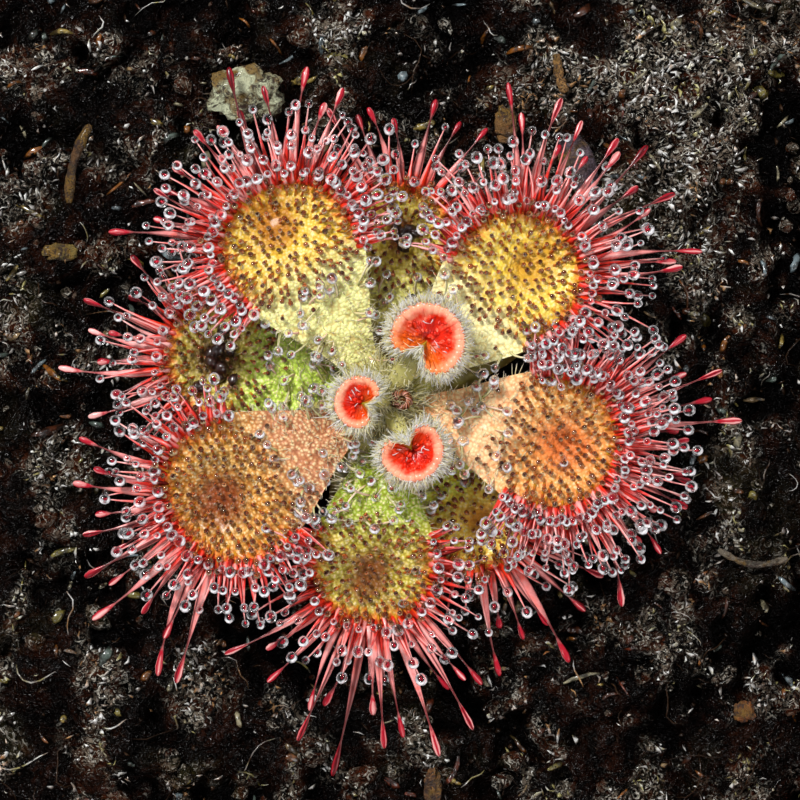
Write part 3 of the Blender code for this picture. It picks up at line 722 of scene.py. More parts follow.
# Bits of leaf, bark and bud scale on their way to being peat: amber, rust, olive, tan and a few grey-blue,
# each a bent lens, glossy with water, with dark rot spots half a millimetre across.
bit_stuff, tree = new_material("half-rotted leaf bits")
here = add(tree, "TexCoord").outputs["Object"]
stain = add(tree, "Attribute", attribute_name="stain").outputs["Color"]
spots = add(tree, "TexNoise", {"Vector": here, "Scale": 1.8 / mm, "Detail": 3, "Roughness": 0.6})
darkness = add(tree, "MapRange", {0: spots.outputs["Fac"], 1: 0.42, 2: 0.60, 3: 0.9, 4: 0.0})
spotted = add(tree, "MixRGB", {"Fac": darkness.outputs[0], "Color1": stain, "Color2": linear("#120C08")})
creased = add(tree, "Bump", {"Height": spots.outputs["Fac"], "Strength": 0.8, "Distance": 0.15 * mm})
soaked = add(
    tree,
    "BsdfPrincipled",
    {
        "Base Color": spotted.outputs[0],
        "Roughness": 0.4,
        "Specular IOR Level": 0.3,
        "Normal": creased.outputs[0],
        "Coat Weight": 1.0,
        "Coat Roughness": 0.08,
    },
)
add(tree, "OutputMaterial", {"Surface": soaked.outputs[0]})
bit_x, bit_y = strewn(LEAF_BITS, 0.97, rng)
share = np.linspace(0, 1, 5)
bit_path, bit_radius = threads_on_peat(
    bit_x,
    bit_y,
    rng.gamma(4.0, 0.22, LEAF_BITS).clip(0.45, 2.2) * mm,
    rng.uniform(0, 2 * np.pi, LEAF_BITS)[:, None] + rng.normal(0, 0.6, LEAF_BITS)[:, None] * share,
    rng.gamma(4.0, 0.034, LEAF_BITS).clip(0.06, 0.32) * mm,
    rng.uniform(0.0, 0.25, LEAF_BITS) * mm,
    share,
)
bit_path = bit_path - (0, 0, 0.7) * bit_radius[..., None]
bit_rings = tubes(bit_path, bit_radius, 6, flat=0.45)
bit_rings = bit_rings + rng.normal(0, 0.16, bit_rings.shape) * bit_radius[..., None, None]
palette = np.array([linear(colour) for colour in BIT_COLOURS])
bit_stains = np.repeat(palette[rng.integers(0, len(palette), LEAF_BITS)], bit_rings[0, ..., 0].size, axis=0)
mesh_piece("leaf_bits", bit_rings, skin(bit_rings), bit_stuff, "wet_peat", stain=bit_stains)


# ---------------------------------------------------------------- stem and roots

# The stem is a short green stock that the leaves hide. Its taproot and side roots run down the burrows in
# the peat: black-brown, with a felt of root hairs in tufts of 0.7 mm that holds the peat to them.
for slot_name, node_names, dark_tone, pale_tone in (
    ("stem_skin", ("stem",), "#8C9638", "#CBC878"),
    ("root_skin", ("root_1", "root_2", "root_3"), "#1C120B", "#4A3220"),
):
    bark_skin, tree = new_material(slot_name.replace("_", " "))
    here = add(tree, "TexCoord").outputs["Object"]
    felt = add(tree, "TexNoise", {"Vector": here, "Scale": 1.5 / mm, "Detail": 5, "Roughness": 0.7})
    tissue = add(
        tree, "MixRGB", {"Fac": felt.outputs["Fac"], "Color1": linear(dark_tone), "Color2": linear(pale_tone)}
    )
    ridged = add(tree, "Bump", {"Height": felt.outputs["Fac"], "Strength": 0.6, "Distance": 0.1 * mm})
    tissue_shader = add(
        tree,
        "BsdfPrincipled",
        {"Base Color": tissue.outputs[0], "Roughness": 0.6, "Normal": ridged.outputs[0]},
    )
    add(tree, "OutputMaterial", {"Surface": tissue_shader.outputs[0]})
    for node_name in node_names:
        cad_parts[node_name].data.materials.clear()
        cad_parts[node_name].data.materials.append(bark_skin)


# ---------------------------------------------------------------- grown leaves

# Each grown leaf is one soft, succulent blade like a spoon: a hairy wedge of a stalk, then a round dished
# pad that colours from green at its foot to red at its rim. Older leaves lie lowest, half hidden.
LEAF_FOOT = 1.6 * mm  # from the stem's axis to where a blade starts
LEAF_THICKNESS = 0.48 * mm
FOOT_SHARE = 0.22  # of the full width, at the foot
WIDEST_AT = 0.70
FLARE = 1.7  # the stalk's wedge, a little fuller than the CAD's
SHOULDER = WIDEST_AT + 0.66 * (1 - WIDEST_AT)  # where the sides end and the tip's arc begins
ROW_BOW = 2.5  # the rows across a leaf bow towards its tip by this power
PAD_MIDDLE = 0.715  # of the length, where the round pad is centred
DISH_LENGTH = 0.24
DISH_WIDTH = 0.80
RIM_CURL = 0.30 * mm  # how far the rim turns up
SPOKES = 46  # ridges that run out through the rim, about one to each outer tentacle
ROWS, COLUMNS = 54, 46

# name: azimuth, length, width, the midrib's height at foot, arch and tip, the dish's depth, then the long
# tentacles as (degrees from the midrib, length), in millimetres. All of them are the CAD's own.
LEAVES = {
    "leaf_north": (85, 12.5, 6.8, 1.1, 2.1, 1.5, 0.4, ((34, 5.2), (12, 4.4), (-8, 5.0), (-35, 4.8))),
    "leaf_north_west": (
        122, 14.2, 8.4, 2.6, 5.2, 2.9, 0.9,
        ((54, 6.1), (41, 4.2), (24, 4.0), (8, 4.6), (-9, 6.8), (-25, 5.2), (-38, 6.2), (-54, 5.4)),
    ),
    "leaf_west": (
        166, 13.0, 7.2, 1.1, 2.1, 1.5, 0.5,
        ((42, 4.8), (24, 5.8), (6, 4.4), (-10, 5.2), (-34, 4.4)),
    ),
    "leaf_south_west": (
        211, 14.0, 8.8, 2.6, 5.2, 2.6, 0.9,
        ((45, 7.2), (29, 7.2), (15, 6.8), (0, 5.8), (-15, 4.9), (-30, 5.0), (-48, 5.0)),
    ),
    "leaf_south": (
        266, 12.9, 7.4, 2.1, 4.4, 2.1, 0.7,
        ((48, 5.6), (36, 7.4), (24, 8.0), (8, 7.0), (-4, 8.8), (-18, 7.4), (-34, 5.4), (-52, 6.2)),
    ),
    "leaf_south_east": (309, 11.6, 7.0, 1.1, 2.1, 1.5, 0.4, ((22, 4.8), (-3, 6.8), (-18, 4.4), (-36, 6.0))),
    "leaf_east": (
        346, 13.8, 8.2, 2.6, 5.2, 2.7, 0.9,
        ((52, 5.6), (40, 6.4), (26, 6.8), (14, 3.8), (0, 4.4), (-14, 4.6), (-28, 4.8), (-46, 6.0)),
    ),
    "leaf_north_east": (
        43, 14.2, 8.0, 2.6, 5.2, 3.1, 0.9,
        ((48, 7.0), (36, 6.4), (24, 5.6), (12, 5.8), (-1, 6.6), (-13, 6.2), (-31, 6.6), (-46, 5.4)),
    ),
}

# The colours of each leaf's face, dish, foot and rim, then where along the leaf the dish lies, how wide its
# colour spreads and how far the foot's colour runs out. Sun and age turn a green leaf yellow, then salmon.
# The dish's darker colour is partly painted shade in its hollow. The low north and south-east leaves, and the
# feet of the west, east and north-east ones, lie in the shade of the leaves and cups above them, and are
# painted lighter than their own colour, which is painted light.
LEAF_COLOURS = {
    "leaf_north": ("#FFEC48", "#8A2C0C", "#FFFF8C", "#E4400C", 0.74, 0.6, 1.2),
    "leaf_north_west": ("#EEC82C", "#B86C0C", "#F0F4A0", "#EE340E", 0.82, 0.8, 1.3),
    "leaf_west": ("#C8B830", "#4A1C0A", "#D4F45C", "#C8280E", 0.74, 0.9, 1.5),
    "leaf_south_west": ("#E0922E", "#803010", "#D08E62", "#DC2A10", 0.76, 0.9, 0.8),
    "leaf_south": ("#C8BC2C", "#742C06", "#A4C034", "#CC2A0E", 0.74, 0.9, 1.0),
    "leaf_south_east": ("#FFE040", "#E09424", "#ECFF54", "#E43C10", 0.74, 0.6, 1.2),
    "leaf_east": ("#FFA856", "#E87430", "#FFD09A", "#F4421C", 0.74, 0.9, 0.9),
    "leaf_north_east": ("#FFDC48", "#D8A028", "#FFFCBC", "#F03C10", 0.78, 0.8, 1.1),
}


def pad_reach(leaf, points):
    """How far out a point lies in the leaf's pad, 0 at its middle and 1 at its rim, as in an ellipse, then
    how far along the leaf, and its bearing, from that middle."""
    length, width = leaf[1] * mm, leaf[2] * mm
    middle = LEAF_FOOT + PAD_MIDDLE * (length - LEAF_FOOT)
    along = (points[..., 0] - middle) / (length - middle)
    across = points[..., 1] / (0.5 * width)
    return np.sqrt(along**2 + across**2), along, np.arctan2(across, along)


def leaf_face(name, u, v):
    """A leaf's upper face in its own frame, +X along the midrib. u runs from foot to tip and v from -1 to 1
    across. The width flares by a power of a sine and ends in half an ellipse, the midrib is a parabola, and
    a smooth dish is pressed into the pad. The rim turns up, spokes ridge it, and the face is uneven."""
    _, length, width, foot, arch, tip, dish, _ = LEAVES[name]
    side = SHOULDER * u
    share = side + (u - side) * (1 - np.abs(v) ** ROW_BOW)
    flare = np.sin(0.5 * np.pi * np.minimum(side / WIDEST_AT, 1)) ** FLARE
    cap = np.sqrt(1 - np.maximum(0, (side - WIDEST_AT) / (1 - WIDEST_AT)) ** 2)
    y = 0.5 * v * width * (FOOT_SHARE + (1 - FOOT_SHARE) * flare) * cap
    midrib = foot * (1 - share) ** 2 + 2 * arch * share * (1 - share) + tip * share**2
    hollow = 1 - ((share - LEAF_COLOURS[name][4]) / DISH_LENGTH) ** 2 - (2 * y / width / DISH_WIDTH) ** 2
    z = midrib - dish * np.maximum(0, hollow) ** 2
    flat = np.stack([LEAF_FOOT + (length * mm - LEAF_FOOT) * share, y * mm], axis=-1)
    reach, along, bearing = pad_reach(LEAVES[name], flat)
    ridge = 0.05 * np.cos(SPOKES * bearing) * np.clip(2.5 * reach - 1.4, 0, 1) * np.clip(2 + 2 * along, 0, 1)
    edge = np.maximum(np.abs(v), u) ** 9 * np.clip(3 * share - 1, 0, 1)
    uneven = 0.08 * ripple(flat[..., 0] / mm, y, 1.5, int(length * 10))
    uneven = uneven + 0.035 * ripple(flat[..., 0] / mm, y, 0.6, int(width * 10))
    return np.concatenate([flat, ((z + ridge + uneven) * mm + RIM_CURL * edge)[..., None]], axis=-1)


def set_out(name, points):
    """Turns points from a leaf's own frame to its azimuth, and lifts them onto the peat."""
    angle = math.radians(LEAVES[name][0])
    x = points[..., 0] * math.cos(angle) - points[..., 1] * math.sin(angle)
    y = points[..., 0] * math.sin(angle) + points[..., 1] * math.cos(angle)
    return np.stack([x, y, points[..., 2] + PEAT_TOP], axis=-1)


def plate(upper, lower):
    """The points and faces of a closed sheet between two grids of points of one size."""
    rows, columns = upper.shape[:2]
    top = np.arange(rows * columns).reshape(rows, columns)
    edge = np.concatenate([top[0, :-1], top[:-1, -1], top[-1, :0:-1], top[:0:-1, 0]])
    under = edge + rows * columns
    rim = np.stack([edge, under, np.roll(under, -1), np.roll(edge, -1)], axis=-1)
    faces = lattice(rows, columns) + [face[::-1] for face in lattice(rows, columns, rows * columns)]
    return np.concatenate([upper.reshape(-1, 3), lower.reshape(-1, 3)]), faces + rim.tolist()


def leaf_skin(name, face, dish, foot, rim):
    """Succulent leaf tissue: clear cells over green, yellow or red sap, moist, with a cell grain of 0.2 mm
    and a mottle of 1.2 mm. The middle of each cell is painted pale, a painted highlight of its sparkle. The
    point colour's red, green and blue say how near the rim, the dish and the foot are; the dish's darker
    colour is partly the leaf's own and partly painted shade in its hollow. Orange comes in before the rim's
    own red."""
    material, tree = new_material(f"sundew leaf tissue {name}")
    here = add(tree, "TexCoord").outputs["Object"]
    zone = add(tree, "SeparateColor", {0: add(tree, "Attribute", attribute_name="zones").outputs["Color"]})
    mottle = add(tree, "TexNoise", {"Vector": here, "Scale": 0.8 / mm, "Detail": 5, "Roughness": 0.7})
    cells = add(tree, "TexVoronoi", {"Vector": here, "Scale": 4.8 / mm})
    wander = add(tree, "MapRange", {0: mottle.outputs["Fac"], 1: 0.25, 2: 0.75, 3: -0.25, 4: 0.25})
    shares = []
    # For the foot, the dish, the orange band and the rim: where each starts, is full, and how full that is
    for channel, start, end, most in (
        (2, 0.15, 0.85, 1.0), (1, 0.25, 0.95, 0.9), (0, 0.05, 0.55, 0.85), (0, 0.50, 0.95, 1.0)
    ):
        near = add(tree, "Math", {0: zone.outputs[channel], 1: wander.outputs[0]}, operation="ADD")
        shares.append(
            add(
                tree, "MapRange", {0: near.outputs[0], 1: start, 2: end, 3: 0.0, 4: most},
                interpolation_type="SMOOTHSTEP",
            )
        )
    paleness = add(tree, "MapRange", {0: mottle.outputs["Fac"], 1: 0.35, 2: 0.70, 3: 0.0, 4: 0.60})
    # Painted highlight: each cell's middle is painted pale, for its sparkle.
    sparkle = add(tree, "MapRange", {0: cells.outputs["Distance"], 1: 0.05, 2: 0.5, 3: 1.0, 4: 0.0})
    seam = add(tree, "MapRange", {0: cells.outputs["Distance"], 1: 0.45, 2: 0.8, 3: 0.0, 4: 0.5})
    pale = add(
        tree, "MixRGB", {"Fac": paleness.outputs[0], "Color1": linear(face), "Color2": linear("#F8DC80")}
    )
    tinted = add(
        tree, "MixRGB", {"Fac": shares[0].outputs[0], "Color1": pale.outputs[0], "Color2": linear(foot)}
    )
    cell_highlights = add(
        tree, "MixRGB", {"Fac": sparkle.outputs[0], "Color1": tinted.outputs[0], "Color2": linear("#FBE6B0")}
    )
    seamed = add(
        tree, "MixRGB", {"Fac": seam.outputs[0], "Color1": cell_highlights.outputs[0], "Color2": linear(dish)}
    )
    # The dish's colour: partly the leaf's own, partly painted shade in the hollow.
    dish_tone_and_shade = add(
        tree, "MixRGB", {"Fac": shares[1].outputs[0], "Color1": seamed.outputs[0], "Color2": linear(dish)}
    )
    orange = add(
        tree,
        "MixRGB",
        {"Fac": shares[2].outputs[0], "Color1": dish_tone_and_shade.outputs[0], "Color2": linear("#E07A22")},
    )
    rimmed = add(
        tree, "MixRGB", {"Fac": shares[3].outputs[0], "Color1": orange.outputs[0], "Color2": linear(rim)}
    )
    pebbled = add(
        tree,
        "Bump",
        {"Height": cells.outputs["Distance"], "Strength": 1.0, "Distance": 0.09 * mm},
        invert=True,
    )
    soft = add(
        tree, "Bump",
        {
            "Height": mottle.outputs["Fac"],
            "Strength": 0.3,
            "Distance": 0.20 * mm,
            "Normal": pebbled.outputs[0],
        },
    )
    tissue = add(
        tree,
        "BsdfPrincipled",
        {
            "Base Color": rimmed.outputs[0],
            "Roughness": 0.40,
            "Normal": soft.outputs[0],
            "Specular IOR Level": 0.25,
            "Coat Weight": 0.15,
            "Coat Roughness": 0.15,
        },
    )
    add(tree, "OutputMaterial", {"Surface": tissue.outputs[0]})
    return material


# The lower face is the upper one moved down by the leaf's thickness, which thins towards the rim.
across_leaf = np.sin(np.linspace(-0.5, 0.5, COLUMNS) * np.pi)
leaf_u, leaf_v = np.meshgrid(np.linspace(0, 1, ROWS), across_leaf, indexing="ij")
for name, leaf in LEAVES.items():
    *colours, dish_at, dish_spread, foot_reach = LEAF_COLOURS[name]
    upper = leaf_face(name, leaf_u, leaf_v)
    reach, along, bearing = pad_reach(leaf, upper)
    thin = np.maximum(np.abs(leaf_v), leaf_u**3) ** 6
    lower = upper - np.stack([0 * thin, 0 * thin, LEAF_THICKNESS * (1 - 0.7 * thin)], axis=-1)
    dish_x = LEAF_FOOT + (leaf[1] * mm - LEAF_FOOT) * dish_at
    away = np.hypot((upper[..., 0] - dish_x) / (0.19 * leaf[1]), upper[..., 1] / (0.27 * leaf[2])) / mm
    near_rim = (reach - 0.70 + 0.09 * np.cos(SPOKES * bearing)) / 0.30
    near_rim = np.clip(near_rim, 0, 1) * np.clip(1.1 + 1.6 * along, 0, 1)
    near_foot = np.clip(-0.25 - foot_reach * along, 0, 1)
    zones = np.stack(
        [near_rim, np.exp(-((away / dish_spread) ** 2)), near_foot, np.ones_like(near_rim)], axis=-1
    )
    points, faces = plate(upper, lower)
    blade = mesh_piece(
        name + "_blade", set_out(name, points), faces, leaf_skin(name, *colours), "leaf_blade",
        zones=np.concatenate([zones.reshape(-1, 4)] * 2),
    )
    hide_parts(name)


# ---------------------------------------------------------------- old leaf stalks

# Under the rosette lie the stalks of leaves that have begun to die back to the stem: limp flat straps, olive
# and pale green, that sag onto the peat and show in the gaps between the grown leaves' stalks.
OLD_STALKS = (  # azimuth in degrees, length in millimetres
    (16, 8.6), (22, 7.4), (30, 6.0), (68, 5.6), (103, 6.0),
    (190, 5.4), (238, 6.4), (247, 5.0), (288, 5.2), (329, 6.0),
)
STRAP_FLATNESS = 0.45

# Limp tissue turns leathery: olive-brown and pale green in patches 2.4 mm across, fluted, and a little moist.
limp, tree = new_material("withered stalk tissue")
here = add(tree, "TexCoord").outputs["Object"]
fade = add(tree, "TexNoise", {"Vector": here, "Scale": 0.42 / mm, "Detail": 4, "Roughness": 0.6})
patches = add(tree, "MapRange", {0: fade.outputs["Fac"], 1: 0.36, 2: 0.64, 3: 0.0, 4: 1.0})
tones = add(
    tree, "MixRGB", {"Fac": patches.outputs[0], "Color1": linear("#6E5A18"), "Color2": linear("#C8C468")}
)
fluted = add(tree, "Bump", {"Height": fade.outputs["Fac"], "Strength": 0.6, "Distance": 0.2 * mm})
leather = add(
    tree,
    "BsdfPrincipled",
    {"Base Color": tones.outputs[0], "Roughness": 0.4, "Normal": fluted.outputs[0], "Coat Weight": 0.3},
)
add(tree, "OutputMaterial", {"Surface": leather.outputs[0]})

# Each strap runs out from the stem, swings aside by the square of its length and comes down evenly, over
# whatever peat stands in its way.
rng = np.random.default_rng(90)
way = np.radians([turn for turn, _ in OLD_STALKS])
t = np.linspace(0, 1, 12)
out = 0.8 + t * (np.array([length for _, length in OLD_STALKS])[:, None] - 0.8)
swung = way[:, None] + rng.normal(0, 0.05, (len(way), 1)) * t**2
strap_path = np.stack([out * np.cos(swung), out * np.sin(swung), 0 * out], axis=-1) * mm
ground = peat_height(strap_path[..., 0], strap_path[..., 1])
strap_path[..., 2] = np.maximum(ground + 0.25 * mm, PEAT_TOP + (3.3 - 1.8 * t) * mm)
strap_width = np.interp(t, (0, 0.5, 1), (0.45, 0.70, 0.30)) * mm
strap_rings = tubes(strap_path, strap_width, 14, hint=(0.05, 0.02, 1.0), flat=STRAP_FLATNESS)
strap_rings = strap_rings + rng.normal(0, 0.03, strap_rings.shape) * mm
mesh_piece("old_leaf_stalks", strap_rings, skin(strap_rings), limp, "leaf_blade")


# ---------------------------------------------------------------- leaf tentacles

# The glands that catch prey. On the pad they stand as short pins with a red-brown head. Round the rim they
# grow long and lean out, each with a drop of glue. The longest are flat snap tentacles with a dry paddle.
PIN_SPACING = 0.54  # millimetres
PIN_ROW_GAP = 0.87 * PIN_SPACING  # the pins stand in triangles
PIN_HEAD = 0.118 * mm
DEW_GLAND = 0.088 * mm
DEW_DROP = 0.325 * mm
PALE_GLAND = 0.085 * mm
PALE_DROP = 0.31 * mm
DROP_OUT = 0.04 * mm  # how far a drop's middle is past the tip that carries it
# name: drops for each square millimetre of the leaf's width squared, then the tentacles' length for their row
DEW_FRINGES = {
    "leaf_north": (0.8, 0.95),
    "leaf_north_west": (2.4, 1.08),
    "leaf_west": (1.6, 1.0),
    "leaf_south_west": (1.5, 0.97),
    "leaf_south": (1.6, 1.0),
    "leaf_south_east": (0.9, 1.0),
    "leaf_east": (3.4, 1.16),
    "leaf_north_east": (2.4, 1.15),
}
# How far in from the rim each row stands and how long it is, in millimetres, then its rise in degrees
DEW_ROWS = ((0.35, 1.1, 58), (0.15, 1.9, 38), (0.05, 2.6, 24), (0.0, 3.3, 11))
ROW_ORDER = (0, 2, 1, 3)  # of neighbours along the rim
FRINGE_MIDDLE = 0.68  # of the leaf's length: the fringe spreads away from there
PALE_PER_LEAF = 26
FUZZ_PER_LEAF = 300
# A snap tentacle's rings, as shares of its length, then where its half width is set, and to how many
# millimetres
SNAP_STATIONS = (0, 0.12, 0.3, 0.48, 0.64, 0.76, 0.81, 0.86, 0.93, 0.98, 1.0)
SNAP_WIDTH_AT = (0, 0.3, 0.48, 0.62, 0.76, 0.82, 0.92, 0.97, 1)
SNAP_WIDTHS = (0.26, 0.23, 0.15, 0.06, 0.045, 0.11, 0.20, 0.18, 0.06)


def grid_on_leaf(leaf, x, y):
    """The u and v of points on a leaf's face, by going round its formula until they settle."""
    length, width = leaf[1], leaf[2]
    share = (x - LEAF_FOOT) / (length * mm - LEAF_FOOT)
    u, v = share.copy(), np.zeros_like(share)
    for _ in range(12):
        side = np.clip(SHOULDER * u, 0, 0.999)
        flare = np.sin(0.5 * np.pi * np.minimum(side / WIDEST_AT, 1)) ** FLARE
        cap = np.sqrt(1 - np.maximum(0, (side - WIDEST_AT) / (1 - WIDEST_AT)) ** 2)
        v = y / (0.5 * width * mm * (FOOT_SHARE + (1 - FOOT_SHARE) * flare) * cap)
        bow = 1 - np.minimum(np.abs(v), 1) ** ROW_BOW
        u = share / (SHOULDER + (1 - SHOULDER) * bow)
    return u, v


def rim_of_leaf(name, count, start, rng):
    """Points spaced evenly, give or take, along a leaf's rim from one flank round the tip to the other, and
    the way that each faces: out from the middle of the pad, and square to the rim."""
    flank = np.linspace(start, 1, 60)
    tip_v = np.linspace(-1, 1, 60)[1:-1]
    u = np.concatenate([flank, np.ones_like(tip_v), flank[::-1]])
    v = np.concatenate([-np.ones_like(flank), tip_v, np.ones_like(flank)])
    line = leaf_face(name, u, v)
    run = np.concatenate([[0], np.cumsum(np.linalg.norm(np.diff(line, axis=0), axis=1))])
    at = (np.arange(count) + 0.5 + rng.uniform(-0.35, 0.35, count)) / count * run[-1]
    spot = np.stack([np.interp(at, run, line[:, axis]) for axis in range(3)], axis=-1)
    ahead = np.stack([np.interp(at, run, np.gradient(line[:, axis])) for axis in range(2)], axis=-1)
    square = unit(np.stack([ahead[:, 1], -ahead[:, 0]], axis=-1))
    from_middle = spot[:, :2] - (LEAF_FOOT + FRINGE_MIDDLE * (LEAVES[name][1] * mm - LEAF_FOOT), 0)
    facing = np.sign(np.sum(square * from_middle, axis=1))[:, None]
    return spot, unit(unit(from_middle) + 0.6 * square * facing)


def turned_by(flat_way, angle, rise):
    """Ways in the plane, turned by an angle each, then raised out of it by another."""
    x = flat_way[:, 0] * np.cos(angle) - flat_way[:, 1] * np.sin(angle)
    y = flat_way[:, 0] * np.sin(angle) + flat_way[:, 1] * np.cos(angle)
    return np.stack([x * np.cos(rise), y * np.cos(rise), np.sin(rise)], axis=-1)


def stalk_paths(root, way, length, sag, sway, points):
    """Each stalk leaves its root along `way`, sags by the square of its length and sways aside."""
    t = np.linspace(0, 1, points)[None, :, None]
    aside = unit(np.cross(way, (0, 0, 1.0)))[:, None]
    bend = sway[:, None, None] * aside - sag[:, None, None] * np.array([0, 0, 1.0])
    return root[:, None] + length[:, None, None] * (t * way[:, None] + t**2 * bend)


def over_peat(paths, clearance):
    """Lifts the points of paths that would dip into the peat."""
    ground = peat_height(paths[..., 0], paths[..., 1]) + clearance
    return np.concatenate([paths[..., :2], np.maximum(paths[..., 2], ground)[..., None]], axis=-1)


def beads(centre, radius, axis, sides, rows, long=1.0):
    """Closed balls, drawn out by `long` along their axis: rings on a path through each, as far along it as
    the cosine of their angle from the pole and as wide as its sine."""
    polar = np.linspace(0.16, np.pi - 0.16, rows)
    path = centre[:, None] - axis[:, None] * (radius * long)[:, None, None] * np.cos(polar)[:, None]
    return tubes(path, radius[:, None] * np.sin(polar), sides, hint=(0.31, 0.57, 0.76))


def sap_tissue(name, foot, middle, tip, roughness, amber=None):
    """Tentacle tissue: rows of clear cells over a core of sap. Its colour runs from foot to tip, or turns to
    amber where the points say so, and the rows show as stripes along it: the pale stripes are painted
    highlights and the dark ones painted shade. Smooth and moist, streaked every 0.5 mm."""
    material, tree = new_material(name)
    along = add(tree, "Attribute", attribute_name="along").outputs["Fac"]
    here = add(tree, "TexCoord").outputs["Object"]
    streak = add(tree, "TexNoise", {"Vector": here, "Scale": 1.9 / mm, "Detail": 3})
    moved = add(tree, "MapRange", {0: streak.outputs["Fac"], 1: 0.3, 2: 0.7, 3: -0.22, 4: 0.22})
    place = add(tree, "Math", {0: along, 1: moved.outputs[0]}, operation="ADD")
    lower = add(tree, "MapRange", {0: place.outputs[0], 1: 0.0, 2: 0.5, 3: 0.0, 4: 1.0})
    upper = add(tree, "MapRange", {0: place.outputs[0], 1: 0.5, 2: 1.0, 3: 0.0, 4: 1.0})
    first = add(tree, "MixRGB", {"Fac": lower.outputs[0], "Color1": linear(foot), "Color2": linear(middle)})
    last = add(tree, "MixRGB", {"Fac": upper.outputs[0], "Color1": first.outputs[0], "Color2": linear(tip)})
    row = add(tree, "Attribute", attribute_name="row").outputs["Fac"]
    # Painted highlights on the pale stripes and painted shade on the dark ones.
    pale_row = add(tree, "MapRange", {0: row, 1: 0.55, 2: 0.9, 3: 0.0, 4: 0.9})
    dark_row = add(tree, "MapRange", {0: row, 1: 0.1, 2: 0.42, 3: 1.0, 4: 0.0})
    last = add(
        tree, "MixRGB", {"Fac": pale_row.outputs[0], "Color1": last.outputs[0], "Color2": linear("#FFC2BC")}
    )
    shade_tone = add(tree, "MixRGB", {"Fac": 0.9, "Color1": last.outputs[0], "Color2": linear("#380104")})
    last = add(
        tree,
        "MixRGB",
        {"Fac": dark_row.outputs[0], "Color1": last.outputs[0], "Color2": shade_tone.outputs[0]},
    )
    if amber:
        share = add(tree, "Attribute", attribute_name="amber").outputs["Fac"]
        last = add(tree, "MixRGB", {"Fac": share, "Color1": last.outputs[0], "Color2": linear(amber)})
    sap = add(
        tree,
        "BsdfPrincipled",
        {
            "Base Color": last.outputs[0],
            "Roughness": roughness,
            "Specular IOR Level": 0.2,
            "Coat Weight": 0.2,
            "Coat Roughness": 0.08,
        },
    )
    add(tree, "OutputMaterial", {"Surface": sap.outputs[0]})
    return material


def cell_rows(rings, dim=1.0):
    """A chance number for each side of each tube, the same all along it unless `dim` lowers it there. The
    tissue paints high ones as highlight stripes and low ones as shade stripes.
    """
    chance = np.random.default_rng(rings.shape[0]).uniform(0, 1, (rings.shape[0], 1, rings.shape[2]))
    return (chance * np.reshape(dim, (1, -1, 1)) * np.ones(rings.shape[:3])).ravel()


def tentacles(name, rings, material, slot, along, rows=True, dim=1.0):
    """A piece of many tentacles, or of many of one part of them. `along` is 0 for the tissue's foot colour
    and 1 for its tip's, and `rows` says whether the painted highlight and shade stripes show."""
    row = cell_rows(rings, dim) if rows else np.full(rings[..., 0].size, 0.5)
    return mesh_piece(name, rings, skin(rings), material, slot, along=per_point(along, rings), row=row)


# Each tissue's colour at its foot, in its middle and at its tip, and its roughness
pin_tissue = sap_tissue("pin stalk tissue", "#D8A024", "#B8541A", "#8A2A16", 0.35)
dew_tissue = sap_tissue("dew stalk tissue", "#F83812", "#EE3C38", "#F0B0AC", 0.30)
snap_tissue = sap_tissue("snap stalk tissue", "#F84016", "#EC9490", "#B0162A", 0.30)
pale_tissue = sap_tissue("pale stalk tissue", "#BFC070", "#DDD8A0", "#F0E2CC", 0.35)
gland_tissue = sap_tissue("gland tissue", "#7A0A1C", "#A41226", "#C01E34", 0.18)
pale_gland_tissue = sap_tissue("pale gland tissue", "#B05048", "#CC7A70", "#DDA08C", 0.18)
pin_gland_tissue = sap_tissue("pin gland tissue", "#521A06", "#823410", "#B0541C", 0.18)


AWAY_FROM_KEY = (0.30, -0.95, 0.0)  # roughly the way across the table from the key lamp


